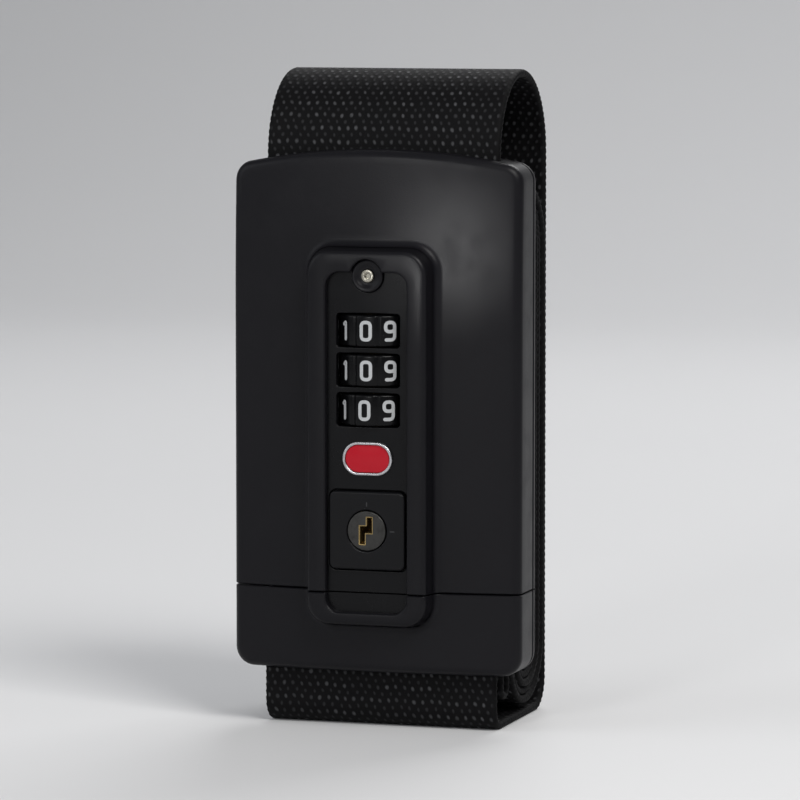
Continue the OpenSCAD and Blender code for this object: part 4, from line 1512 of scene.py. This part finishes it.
class BuckleBuilder:
    """Builds the buckle's visible pieces in place of their plain nodes."""

    SLOT_FRONT = UPPER_RUN_Y - WEBBING_HALF_T - SLOT_GAP  # the webbing's slot in the body
    SLOT_BACK = UPPER_RUN_Y + WEBBING_HALF_T + SLOT_GAP
    MOUTH_FRONT = STANDING_RUN_Y - WEBBING_HALF_T - SLOT_GAP  # and its mouth in the tongue
    DISH_GAP = 0.08
    PANEL_LAP = 2.4  # how far the panel reaches behind the lock frame's sides
    WINDOW_W = 13.62
    WINDOW_H = 7.0
    BUTTON_W = 16.3
    BUTTON_H = 16.1
    BUTTON_GAP = 0.28
    PLUG_R = 4.1
    SCREW_HEAD_R = 2.4  # counterbores of the screws in the covers
    SCREW_R = 1.7
    COVER_SPLIT = 0.62  # thickness of the covers' liner
    LINER_INSET = 0.25
    RAIL_W = 1.2  # rails on the body's cover, on both sides of each prong
    RAIL_X = (13.1, 24.3)
    RAIL_RISE = (2.0, 23.0)
    RAIL_FRONT = -13.6
    POST_FRONT = -14.6
    POST_R = (1.25, 3.3)
    DIAL_ROOM = 5.0  # how far the cover's window reaches past the outer dials' middles
    DIAL_WINDOW_W = 17.4

    def __init__(self, sizes: BuckleSizes, paints: Paints) -> None:
        """Takes the sizes and the materials."""
        self.sizes = sizes
        self.paints = paints

    def build(self) -> None:
        """Builds every piece."""
        self._shells()
        self._rims()
        self._panels()
        self._dish()
        self._dials()
        self._badge()
        self._button()
        self._plug()
        self._covers()

    def _done(
        self, piece: bpy.types.Object, finish: Finish, body: Union[Body, str], *nodes: str
    ) -> bpy.types.Object:
        """Paints a piece, and makes it ride on its body in place of its nodes.

        Args:
            piece: the piece.
            finish: what it is made of.
            body: the body that it rides on.
            nodes: the plain nodes that it replaces.

        Returns:
            The piece.
        """
        self.paints.dress(piece, finish)
        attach(piece, body.value if isinstance(body, Body) else body)
        if nodes:
            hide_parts(*nodes)
        LOG.info("%s: %d faces", piece.name, len(piece.data.polygons))
        return piece

    def _shells(self) -> None:
        """The crowned mouldings of the body and the tongue."""
        s = self.sizes
        body = CrownedShell(
            s, s.body_path, s.frame_path, self.SLOT_FRONT, self.SLOT_BACK, self._slot(s.body_path)
        )
        self._done(body.build("body_moulding"), Finish.BODY, Body.BUCKLE, "front_shell")
        tongue = CrownedShell(
            s, s.tongue_path, s.foot_path, self.MOUTH_FRONT, s.split_y, self._slot(s.tongue_path)
        )
        self._done(tongue.build("tongue_moulding"), Finish.BODY, Body.TONGUE, "tongue_front")

    def _slot(self, path: Callable[[float], Loop]) -> range:
        """The stretches of a shell's path that the webbing's slot takes.

        Args:
            path: the shell's path.

        Returns:
            The numbers of those stretches.
        """
        line = path(0.0)
        first = len(line) // 2
        while abs(line[first - 1][0]) <= WEBBING_HALF_W + SLOT_GAP + 0.01:
            first -= 1
        return range(first, first + TOP_POINTS - 1)

    def _rims(self) -> None:
        """The raised frame round the lock, in two pieces parted at the seam."""
        s = self.sizes
        window = s.window_path(DISH_R + self.DISH_GAP)
        body = LockRim(s, s.frame_path(0.0), window, s.window_path(0.0))
        self._done(body.build("lock_frame"), Finish.FRAME, Body.BUCKLE, "lock_bezel")
        foot = LockRim(s, s.foot_path(0.0), s.foot_window_path(), s.foot_window_path())
        self._done(foot.build("lock_frame_foot"), Finish.FRAME, Body.TONGUE, "tongue_bezel")

    def _panels(self) -> None:
        """The panel with the dials' windows, and its foot on the tongue."""
        s = self.sizes
        side = s.panel_half_w + self.PANEL_LAP

        def outline(inset: float) -> Loop:
            """The panel's outline, which reaches behind the lock frame."""
            return s.arch_path(side - inset, s.module_top_z - 1.2 - inset, s.window_corner, 0.0)

        def foot_outline(inset: float) -> Loop:
            """The outline of the panel's foot on the tongue."""
            bottom = s.module_bottom_z + 1.4 + inset
            return s.foot_loop(side - inset, bottom, s.window_corner, False)

        gap = 2 * self.BUTTON_GAP
        width, height = self.BUTTON_W + gap, self.BUTTON_H + gap
        holes: list[Outline] = [
            *(RoundRect((0.0, z), self.WINDOW_W, self.WINDOW_H, 0.7, 4) for z in s.dial_z),
            RoundRect(s.button_middle, width, height, 1.7),
            Disc((0.0, s.reset_z), DISH_R + 0.06, 64),
        ]
        panel = Mesher()
        panel.slab(PathOutline(outline), holes, s.panel_y, s.panel_back_y, 0.2, 0.05)
        self._done(panel.object("lock_face"), Finish.PANEL, Body.BUCKLE, "lock_panel")
        foot = Mesher()
        foot.slab(PathOutline(foot_outline), (), s.panel_y, s.panel_back_y, 0.08, 0.05)
        self._done(foot.object("lock_face_foot"), Finish.PANEL, Body.TONGUE)

    def _dish(self) -> None:
        """The dished seat of the reset pin, and the pin."""
        s = self.sizes
        rim, cone = s.panel_y - 0.7, s.panel_y - 0.1
        profile = [
            (DISH_R, s.panel_back_y),
            (DISH_R, rim + 0.35),
            (DISH_R - 0.1, rim + 0.12),
            (DISH_R - 0.35, rim),
            (DISH_R - 0.7, rim + 0.05),
            (DISH_R - 1.0, rim + 0.2),
            (2.0, cone - 0.12),
            (1.7, cone - 0.02),
            (1.5, cone),
            (1.42, cone + 0.1),
            (1.42, s.panel_back_y),
        ]
        dish = Mesher()
        dish.lathe((0.0, s.reset_z), profile)
        self._done(dish.object("reset_dish"), Finish.FRAME, Body.BUCKLE)
        low, high = (corner.y for corner in node_box("reset_pin"))
        profile = [
            (0.58, low + 0.75),
            (0.6, low + 0.12),
            (0.7, low + 0.03),
            (0.8, low),
            (1.12, low),
            (1.26, low + 0.06),
            (1.35, low + 0.2),
            (1.35, s.panel_back_y + 0.2),
            (1.85, s.panel_back_y + 0.2),
            (1.85, s.panel_back_y + 0.9),
            (1.0, s.panel_back_y + 0.9),
            (1.0, high - 0.15),
            (0.85, high),
            (0.02, high),
            (0.02, low + 0.75),
        ]
        pin = Mesher()
        pin.lathe((0.0, s.reset_z), profile, 40)
        piece = pin.object("reset_pin_turned")
        self._done(piece, Finish.BRASS, Body.RESET, "reset_pin")
        piece.data.materials[0] = self.paints.material(PIN_METAL)

    def _dials(self) -> None:
        """The three number dials, the lowest one not quite at its stop."""
        s = self.sizes
        for index, (z, lean) in enumerate(zip(s.dial_z, (0.0, 0.3, -2.2)), start=1):
            dial = NumberDial((0.0, s.dial_y, z), lean)
            piece = dial.build(f"number_dial_{index}")
            self._done(piece, Finish.DIAL, f"dial_{index}", f"dial_{index}")
            piece.data.materials.append(self.paints.material(NUMERAL_PAINT))

    def _badge(self) -> None:
        """The plain oval badge: a polished rim round domed enamel."""
        s = self.sizes
        low, high = node_box("badge_rim")
        width, height = high.x - low.x, high.z - low.z
        centre = (0.0, s.badge_z)
        outer = RoundRect(centre, width, height, height / 2 - 0.02, 14)
        inner = RoundRect(centre, width - 1.2, height - 1.2, height / 2 - 0.62, 14)
        rim = Mesher()
        rim.slab(outer, (inner,), low.y, s.panel_y + 0.05, 0.22, 0.02)
        self._done(rim.object("badge_edge"), Finish.BADGE_RIM, Body.BUCKLE, "badge_rim")
        fill = Mesher()
        field_shape = RoundRect(centre, width - 1.26, height - 1.26, height / 2 - 0.65, 14)
        fill.slab(field_shape, (), s.panel_y - 0.42, s.panel_y + 0.05, 0.12, 0.02, dome=0.2)
        self._done(fill.object("badge_field"), Finish.ENAMEL, Body.BUCKLE, "badge_enamel")

    def _button(self) -> None:
        """The square release button with the plug's hole and two small marks for the key."""
        s = self.sizes
        low, high = node_box("release_button")
        centre = s.button_middle
        key_hole = Disc(centre, self.PLUG_R + 0.09, 64)
        spring_hole = Disc(centre, 5.0, 64)
        face = RoundRect(centre, self.BUTTON_W, self.BUTTON_H, 1.4)
        flange = RoundRect(centre, high.x - low.x, high.z - low.z, 1.0, 4)
        button = Mesher()
        button.slab(face, (key_hole,), low.y, s.panel_back_y + 0.2, 0.42, 0.02)
        button.slab(flange, (spring_hole,), s.panel_back_y + 0.12, high.y, 0.05, 0.1)
        button.paint = 1
        x, z = centre
        self._mark(button, (x - 0.12, z + 5.0), (x + 0.12, z + 5.9), low.y)
        self._mark(button, (x + 5.0, z - 0.12), (x + 6.0, z + 0.12), low.y)
        piece = button.object("release_key")
        self._done(piece, Finish.BUTTON, Body.BUTTON, "release_button")
        piece.data.materials.append(self.paints.material(MARK_PAINT))

    @staticmethod
    def _mark(mesher: Mesher, low: Point2, high: Point2, face: float) -> None:
        """A short printed line, a hair proud of a face.

        Args:
            mesher: the mesh.
            low: its lower left corner.
            high: its upper right corner.
            face: depth of the face.
        """
        centre = ((low[0] + high[0]) / 2, (low[1] + high[1]) / 2)
        outline = RoundRect(centre, high[0] - low[0], high[1] - low[1], 0.08, 3)
        mesher.slab(outline, (), face - 0.02, face + 0.05, 0.005, 0.005)

    def _plug(self) -> None:
        """The key plug, with brass walls in its keyway."""
        low, high = node_box("key_plug")
        centre, face = self.sizes.button_middle, low.y
        plug = Mesher()
        keyway = Keyway(centre).outline()
        plug.slab(Disc(centre, self.PLUG_R, 64), (keyway,), face, high.y, 0.22, 0.05, hole_paint=1)
        bead = [(3.28, face - 0.012), (3.42, face - 0.03), (3.56, face - 0.012)]
        plug.lathe(centre, [*bead, (3.56, face + 0.1), (3.28, face + 0.1)], 64)
        piece = plug.object("plug_face")
        self._done(piece, Finish.PLUG, Body.PLUG, "key_plug")
        piece.data.materials.append(self.paints.material(KEYWAY_BRASS))

    def _covers(self) -> None:
        """The flat covers behind the body and the tongue, with the screws' counterbores."""
        s = self.sizes
        screws = self._screws("back_screws")
        body = Mesher()
        low, high = s.dial_z[-1] - self.DIAL_ROOM, s.dial_z[0] + self.DIAL_ROOM
        lock_window = RoundRect((0.0, (low + high) / 2), self.DIAL_WINDOW_W, high - low, 0.5, 3)
        self._cover(body, s.body_path, screws, lock_window)
        rail_low, rail_high = (s.body_z + rise for rise in self.RAIL_RISE)
        for x in self.RAIL_X:
            for left in (x, -x - self.RAIL_W):
                corner = (left, self.RAIL_FRONT, rail_low)
                body.block(corner, (left + self.RAIL_W, s.split_y + 0.1, rail_high), 0.15)
        front, (bore, rim) = self.POST_FRONT, self.POST_R
        for screw in screws:
            post = [(bore, front), (rim, front), (rim, s.split_y), (bore, s.split_y)]
            body.lathe(screw, post, 32)
        self._done(body.object("body_cover"), Finish.BODY, Body.BUCKLE, "back_shell")
        tongue = Mesher()
        self._cover(tongue, s.tongue_path, self._screws("tongue_screws"))
        self._done(tongue.object("tongue_cover"), Finish.BODY, Body.TONGUE, "tongue_back")

    @staticmethod
    def _screws(node: str) -> list[Point2]:
        """The middles of a node's screws in the front view.

        Args:
            node: the node.

        Returns:
            The middles, left ones first.
        """
        low, high = node_box(node)
        head = 2.2
        heights = {round(low.z + head, 3), round(high.z - head, 3)}
        x = high.x - head
        return [(side * x, z) for side in (-1, 1) for z in sorted(heights)]

    def _cover(
        self, mesher: Mesher, path: Callable[[float], Loop], screws: list[Point2], *windows: Outline
    ) -> None:
        """Adds a cover: an outer skin with the screws' counterbores, and a liner they clamp.

        Args:
            mesher: the mesh.
            path: the cover's outline, by inset.
            screws: the screws' middles.
            windows: openings in the liner.
        """
        split = self.sizes.split_y
        skin_y = split + self.COVER_SPLIT
        heads = [Disc(screw, self.SCREW_HEAD_R, 40) for screw in screws]
        mesher.slab(PathOutline(path), heads, skin_y, self.sizes.back_y, 0.2, 0.55)
        holes = [*(Disc(screw, self.SCREW_R, 32) for screw in screws), *windows]
        liner = PathOutline(lambda inset: path(inset + self.LINER_INSET))
        mesher.slab(liner, holes, split, skin_y + 0.02, 0.02, 0.02)


# ---------------------------------------------------------------- webbing


@dataclass
class StrapPath:
    """The line that webbing follows, seen from the side as (y, z) points."""

    points: Loop = field(default_factory=list)

    def to(self, y: float, z: float) -> StrapPath:
        """Runs straight on to a point."""
        self.points.append((y, z))
        return self

    def turn(self, centre: Point2, radius: float, start: float, end: float) -> StrapPath:
        """Runs round part of a circle.

        Args:
            centre: its centre.
            radius: radius of the webbing's middle.
            start: angle where it starts, in degrees from +Y towards +Z.
            end: angle where it ends.

        Returns:
            This path.
        """
        steps = max(6, math.ceil(abs(end - start) * math.radians(radius) / 0.2))
        self.points += arc(centre, radius, start, end, steps)
        return self

    def even(self, step: float) -> list[tuple[Vector, Vector, float]]:
        """Points at even distances along the line.

        Args:
            step: about how far apart.

        Returns:
            For each its place, its tangent and its distance along the line.
        """
        points = [Vector(p) for p in self.points]
        far = [0.0]
        for a, b in zip(points, points[1:]):
            far.append(far[-1] + (b - a).length)
        count = max(2, round(far[-1] / step))
        made, k = [], 0
        for i in range(count + 1):
            s = far[-1] * i / count
            while k < len(points) - 2 and far[k + 1] < s:
                k += 1
            span = far[k + 1] - far[k]
            place = points[k].lerp(points[k + 1], (s - far[k]) / span if span else 0.0)
            made.append([place, None, s])
        for i, entry in enumerate(made):
            before, after = made[max(i - 1, 0)][0], made[min(i + 1, count)][0]
            entry[1] = (after - before).normalized()
        return [tuple(entry) for entry in made]

    @property
    def length(self) -> float:
        """The line's length."""
        return sum((Vector(b) - Vector(a)).length for a, b in zip(self.points, self.points[1:]))


@dataclass
class Webbing:
    """A length of woven webbing laid along a path, with real relief on its faces and edges."""

    path: StrapPath
    weave: Weave
    columns: int
    step: float = 0.46
    half_w: float = WEBBING_HALF_W
    half_t: float = WEBBING_HALF_T
    edge_w: float = 0.55
    rib: float = 0.16
    relief: float = 0.1
    sway: Callable[[float], float] = lambda s: 0.0
    thin_ends: float = 0.0

    def build(self, name: str) -> bpy.types.Object:
        """Makes the webbing's mesh and its object, of that name.

        Args:
            name: the object's name.

        Returns:
            The object.
        """
        stations = self.path.even(self.step)
        section, length = self._section(), self.path.length
        points: list[Point3] = []
        places: list[Point3] = []
        for place, tangent, s in stations:
            normal = Vector((-tangent.y, tangent.x))
            shift, ends = self.sway(s), min(s, length - s)
            for x, side, edge in section:
                lift = self._lift(x, s, side, edge, ends)
                x_here = x + self._ribs(x, s, edge)
                at = place + normal * lift
                points.append((x_here + shift, at.x, at.y))
                places.append((x, s, 0.0))
        count = len(section)
        last = (len(stations) - 1) * count
        faces = [
            (here + j, here + (j + 1) % count, here + count + (j + 1) % count, here + count + j)
            for here in range(0, last, count)
            for j in range(count)
        ]
        half = count // 2
        for base, flip in ((0, False), (last, True)):
            for j in range(half - 1):
                quad = (base + j, base + count - 1 - j, base + count - 2 - j, base + j + 1)
                faces.append(quad[::-1] if flip else quad)
        return self._object(name, points, faces, places)

    def _section(self) -> list[tuple[float, float, bool]]:
        """The cross-section's points: place across, side of the webbing, and whether on an edge.

        Returns:
            The points, once round the webbing.
        """
        flat_w = self.half_w - self.edge_w
        edge = [(flat_w + 0.3, 0.82), (flat_w + 0.48, 0.5), (self.half_w, 0.12)]
        top = [(-x, side, True) for x, side in reversed(edge)]
        top += [(x, 1.0, False) for x in spaced(-flat_w, flat_w, self.columns)]
        top += [(x, side, True) for x, side in edge]
        return top + [(x, -side, on_edge) for x, side, on_edge in reversed(top)]

    def _lift(self, x: float, s: float, side: float, edge: bool, ends: float) -> float:
        """How far a point of the section stands off the middle surface, ends from an end.

        Args:
            x: place across.
            s: distance along.
            side: 1 on the upper face, -1 on the lower, less on the edges.
            edge: whether it is on an edge.
            ends: distance from the nearer end.

        Returns:
            The distance, which is negative on the lower face.
        """
        full = self.half_t
        relief = 0.0
        if not edge:
            shift = 0.0 if side > 0 else 0.5
            relief = self.relief * (self.weave.height(x + shift * self.weave.across, s) - 0.75)
        if ends < self.thin_ends:
            full *= 0.7 + 0.3 * ends / self.thin_ends
        return side * full + math.copysign(relief, side)

    def _ribs(self, x: float, s: float, edge: bool) -> float:
        """How far the woven edge bulges out at a place.

        Args:
            x: place across.
            s: distance along.
            edge: whether it is on an edge.

        Returns:
            The shift across.
        """
        if not edge:
            return 0.0
        bulge = 0.5 + 0.5 * math.cos(2 * math.pi * s / (self.weave.along / 2))
        return math.copysign(self.rib * (bulge - 1.0), x)

    def _object(
        self, name: str, points: list[Point3], faces: list[tuple[int, ...]], places: list[Point3]
    ) -> bpy.types.Object:
        """Makes the mesh, with each point's place on the webbing, and its object.

        Args:
            name: the object's name.
            points: its points, in millimetres.
            faces: its faces.
            places: each point's place on the webbing.

        Returns:
            The object.
        """
        mesh = bpy.data.meshes.new(name)
        mesh.from_pydata([tuple(c * MM for c in p) for p in points], [], faces)
        mesh.validate()
        mesh.polygons.foreach_set("use_smooth", [True] * len(mesh.polygons))
        layer = mesh.attributes.new(WEBBING_PLACE, "FLOAT_VECTOR", "POINT")
        layer.data.foreach_set("vector", [c for p in places for c in p])
        mesh.set_sharp_from_angle(angle=WEBBING_SMOOTH_BELOW)
        return link(name, mesh)


@dataclass(frozen=True)
class StrapLayout:
    """Where the webbing runs round the buckle, in the side view."""

    wall_y: float
    upper_bar: Point2
    lower_bar: Point2
    coil_y: float
    coil_r: float
    coil_low_z: float
    coil_high_z: float
    half_t: float = WEBBING_HALF_T
    run_y: float = UPPER_RUN_Y
    bend_z: float = 118.0
    upper_loop_r: float = 2.35
    doubled_end_z: float = 115.4
    rear_bend_r: float = 6.0
    front_bend_r: float = 4.0
    standing_y: float = STANDING_RUN_Y
    tail_y: float = -8.4
    tail_end_y: float = -4.45
    tail_turn_z: float = 8.5
    coil_start_z: float = 20.2
    coil_pitch: float = 1.75
    coil_laps: int = 7
    free_end: float = 12.0  # how far the free end runs up inside the coil
    bar_ease: float = 22.0  # degrees that the webbing cuts off each end of its turn round the bar

    @classmethod
    def from_frame(cls) -> StrapLayout:
        """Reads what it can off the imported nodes' boxes.

        Returns:
            The layout.
        """
        low, high = node_box("webbing_coil")
        radius = (high.y - low.y) / 2
        return cls(
            wall_y=node_box("webbing_lower")[1].y - cls.half_t,
            upper_bar=tuple(node_middle("upper_webbing_bar").yz),
            lower_bar=tuple(node_middle("lower_webbing_bar").yz),
            coil_y=node_middle("webbing_coil").y,
            coil_r=radius - cls.half_t,
            coil_low_z=low.z + radius,
            coil_high_z=high.z - radius,
        )

    def main(self) -> StrapPath:
        """The webbing from its doubled end, over the top and under the tongue, to its tail.

        Returns:
            The path.
        """
        bar_y, bar_z = self.upper_bar
        doubled_y = self.run_y - 2 * self.half_t
        loop_top = bar_z + self.upper_loop_r + 1.2
        start = math.degrees(math.acos((doubled_y - bar_y) / self.upper_loop_r))
        end = math.degrees(math.acos((self.run_y - bar_y) / self.upper_loop_r))
        path = StrapPath().to(doubled_y, self.doubled_end_z).to(doubled_y, loop_top)
        start, end = start + self.bar_ease, end + 360 - self.bar_ease
        path.turn(self.upper_bar, self.upper_loop_r, start, end)
        path.to(self.run_y, loop_top)
        over_y = (self.wall_y + self.run_y) / 2
        path.turn((over_y, self.bend_z), (self.wall_y - self.run_y) / 2, 180, 0)
        rear_y = self.wall_y - self.rear_bend_r
        path.turn((rear_y, self.rear_bend_r + self.half_t), self.rear_bend_r, 0, -90)
        front_y = self.standing_y + self.front_bend_r
        path.turn((front_y, self.front_bend_r + self.half_t), self.front_bend_r, 270, 180)
        path.turn(self.lower_bar, self.lower_bar[0] - self.standing_y, 180, 0)
        turn_r = (self.tail_end_y - self.tail_y) / 2
        path.turn((self.tail_y + turn_r, self.tail_turn_z), turn_r, 180, 360)
        return path.to(self.tail_end_y, self.coil_start_z - 0.1)

    def coil(self) -> StrapPath:
        """The spare webbing wound in laps, from its outermost one to its free end inside.

        Returns:
            The path.
        """
        path = StrapPath().to(self.coil_y - self.coil_r, self.coil_start_z)
        for lap in range(self.coil_laps):
            radius = self.coil_r - self.coil_pitch * lap
            path.turn((self.coil_y, self.coil_high_z), radius, 180, 0)
            if lap < self.coil_laps - 1:
                for share in spaced(0, 1, 41):
                    reach, a = radius - self.coil_pitch * share, -math.pi * share
                    y, z = reach * math.cos(a), reach * math.sin(a)
                    path.to(self.coil_y + y, self.coil_low_z + z)
        return path.to(self.coil_y + radius, self.coil_low_z + self.free_end)


class StrapBuilder:
    """Lays the webbing round the buckle and in its coil."""

    COLUMNS = 101  # points across the webbing that passes round the buckle
    QUICK_COLUMNS = 61
    COIL_COLUMNS = 25
    LAP_LENGTH = 220.0  # about how long a lap of the coil is

    def __init__(self, layout: StrapLayout, weave: Weave, paints: Paints) -> None:
        """Takes the layout, the weave and the materials."""
        self.layout = layout
        self.weave = weave
        self.paints = paints

    def build(self) -> None:
        """Builds both lengths of webbing."""
        self._main()
        self._coil()

    def _main(self) -> None:
        """The webbing that passes round both bars, one piece from the body to the tongue."""
        path = self.layout.main()
        columns = self.COLUMNS
        piece = Webbing(path, self.weave, columns).build("strap_webbing")
        self.paints.dress(piece, Finish.WEBBING)
        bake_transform(piece)
        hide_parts("webbing_upper", "webbing_lower")
        path.length * MM
        LOG.info("strap webbing: %.0f mm long", path.length)

    def _coil(self) -> None:
        """The coil of spare webbing behind the buckle."""
        path = self.layout.coil()

        def sway(s: float) -> float:
            """How far the coil stands aside, which differs from lap to lap."""
            lap = s / self.LAP_LENGTH
            return 0.32 * math.sin(2.3 * lap + 0.4) * min(1.0, s / 90.0)

        webbing = Webbing(path, self.weave, self.COIL_COLUMNS, sway=sway, thin_ends=2.0)
        piece = webbing.build("coil_webbing")
        self.paints.dress(piece, Finish.WEBBING)
        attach(piece, "root")
        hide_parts("webbing_coil")
        path.length * MM
        LOG.info("coil webbing: %.0f mm long", path.length)


# ---------------------------------------------------------------- pieces kept from the frame


KEPT = {
    Finish.ZINC: ("lock_chassis",),
    Finish.STEEL: (
        "back_screws",
        "upper_webbing_bar",
        "lock_screws",
        "dial_spindle",
        "fence_bar",
        "tongue_plate",
        "catch_rivets",
        "lower_webbing_bar",
        "tongue_screws",
    ),
    Finish.SPRING: ("detent_spring",),
    Finish.BRASS: ("key_barrel", "plug_wafers", "key_cam"),
    # the hubs get the darkened brass, as painted shade between the dials
    HUB_BRASS_PAINTED_SHADE: ("dial_hub_1", "dial_hub_2", "dial_hub_3"),
    Finish.CORE: ("tongue_core",),
}


def add_springs(nodes: dict[str, bpy.types.Object], paints: Paints) -> None:
    """Puts copies of the springs, each on its body, in place of the rigid ones.

    Each row names a spring, its joint, its body, how far it gives, and how far behind it is held.

    Args:
        nodes: the frame's nodes by name.
        paints: the materials.
    """
    springs = (
        ("button_spring", "button_press", Body.BUCKLE, 2.0, 0.0),
        ("reset_spring", "reset_press", Body.BUCKLE, 1.0, 0.0),
        ("catch_spring", "button_press", Body.TONGUE, 2.15, 4.2),
    )
    for name, joint, body, travel, behind in springs:
        low, high = node_box(name)
        spring = link(f"{name}_coil", nodes[name].data.copy())
        spring.matrix_world = nodes[name].matrix_world
        paints.dress(spring, Finish.SPRING)
        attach(spring, body.value)
        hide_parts(name)
        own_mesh(spring)


def dress_kept(nodes: dict[str, bpy.types.Object], paints: Paints) -> None:
    """Gives the nodes that stay as they are their materials.

    Args:
        nodes: the frame's nodes by name.
        paints: the materials.
    """
    for finish, names in KEPT.items():
        recipe = RECIPES.get(finish, finish)
        for name in names:
            nodes[name].data.materials.clear()
            nodes[name].data.materials.append(paints.material(recipe))
            for polygon in nodes[name].data.polygons:
                polygon.material_index = 0


# ---------------------------------------------------------------- studio


def aim(light: bpy.types.Light, place: Point3, target: Point3) -> None:
    """Puts a light in the scene, aimed at a point.

    Args:
        light: the light.
        place: where it stands.
        target: the point that it is aimed at.
    """
    made = link(light.name, light)
    made.location = place
    made.rotation_euler = (Vector(target) - Vector(place)).to_track_quat("-Z", "Y").to_euler()


@dataclass(frozen=True)
class Softbox:
    """A large square soft light aimed at a point."""

    name: str
    place: Point3
    target: Point3
    size: Point2
    power: float
    tint: Point3 = (1.0, 1.0, 1.0)

    def add(self) -> None:
        """Adds the light to the scene."""
        light = bpy.data.lights.new(self.name, "AREA")
        light.shape = "RECTANGLE"
        light.size, light.size_y = self.size
        light.energy = self.power
        light.color = self.tint
        aim(light, self.place, self.target)


@dataclass(frozen=True)
class Snoot:
    """A narrow soft-edged light aimed at a point; its width is the cone's angle in degrees.

    Its source is small against the cone, because a larger one would lose most of the light.
    """

    name: str
    place: Point3
    target: Point3
    width: float
    power: float
    source: float = 0.008

    def add(self) -> None:
        """Adds the light to the scene."""
        light = bpy.data.lights.new(self.name, "SPOT")
        light.spot_size = math.radians(self.width)
        light.spot_blend = 1.0
        light.shadow_soft_size = self.source
        light.energy = self.power
        aim(light, self.place, self.target)


@dataclass(frozen=True)
class Studio:
    """Camera, pale floor and soft lights round the strap."""

    azimuth: float = 17.5
    elevation: float = 5.4
    distance: float = 1.03
    lens: float = 222.0
    target: Point3 = (0.0, 0.0, 0.0668)

    def build(self) -> None:
        """Adds the camera, the floor and the lights."""
        bpy.context.scene.view_settings.view_transform = "Standard"
        self._camera()
        self._floor()
        self._world()
        centre = (0.0, 0.0, 0.07)
        lights = (
            Softbox("key", (0.75, -0.62, 1.05), centre, (0.6, 0.6), 12.5, (1.0, 0.985, 0.96)),
            Softbox("gloss", (-0.13, -0.86, 0.32), (0.012, -0.02, 0.1), (0.15, 0.15), 1.7),
            Softbox("fill", (-0.95, -0.6, 0.6), centre, (0.8, 0.8), 3.0, (0.95, 0.975, 1.0)),
            Softbox("rear", (0.1, 1.0, 0.95), (0.0, 0.0, 0.08), (0.9, 0.5), 8.0),
            Snoot("glint", (-0.055, -0.912, 0.034), (0.0155, -0.018, 0.1005), 2.1, 14.0),
        )
        for light in lights:
            light.add()

    def _camera(self) -> None:
        """The camera at the viewing angle."""
        a, e = math.radians(self.azimuth), math.radians(self.elevation)
        back = Vector((math.sin(a) * math.cos(e), -math.cos(a) * math.cos(e), math.sin(e)))
        camera = bpy.data.cameras.new("camera")
        camera.lens = self.lens
        camera.sensor_width = 36.0
        camera.clip_start, camera.clip_end = 0.05, 20.0
        made = link("camera", camera)
        made.location = Vector(self.target) + back * self.distance
        made.rotation_euler = (-back).to_track_quat("-Z", "Y").to_euler()
        bpy.context.scene.camera = made

    @staticmethod
    def _floor() -> None:
        """A pale floor that curves up behind."""
        profile = [(-3.0, 0.0), (1.0, 0.0)]
        profile += [(y, z + 0.6) for y, z in arc((1.0, 0.0), 0.6, -90, 0, 16)[1:]]
        profile.append((1.6, 4.0))
        points = [(x, y, z) for y, z in profile for x in (-4.0, 4.0)]
        faces = [(2 * i, 2 * i + 1, 2 * i + 3, 2 * i + 2) for i in range(len(profile) - 1)]
        mesh = bpy.data.meshes.new("floor")
        mesh.from_pydata(points, [], faces)
        mesh.polygons.foreach_set("use_smooth", [True] * len(faces))
        graph = Graph("pale_floor")
        colour = graph.blend(graph.noise(2.0, 3.0), (0.68, 0.68, 0.69), (0.72, 0.72, 0.725))
        mesh.materials.append(graph.finish({"Base Color": colour, "Roughness": 0.7}))
        link("floor", mesh)

    @staticmethod
    def _world() -> None:
        """A dim pale world."""
        world = bpy.data.worlds.new("studio")
        world.use_nodes = True
        background = world.node_tree.nodes["Background"]
        background.inputs["Color"].default_value = (0.92, 0.95, 1.0, 1.0)
        background.inputs["Strength"].default_value = 0.22
        bpy.context.scene.world = world


# ---------------------------------------------------------------- scene


def main() -> None:
    """Builds the whole scene."""
    logging.basicConfig(level=logging.INFO, format="%(name)s: %(message)s")
    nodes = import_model()["nodes"]
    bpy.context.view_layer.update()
    sizes = BuckleSizes.from_frame()
    LOG.info("lock frame half width %.3f, rim %.3f", sizes.frame_half_w, sizes.rim_w)
    paints = Paints()
    BuckleBuilder(sizes, paints).build()
    StrapBuilder(StrapLayout.from_frame(), Weave(), paints).build()
    dress_kept(nodes, paints)
    add_springs(nodes, paints)
    Studio().build()


if __name__ == "__main__":
    main()
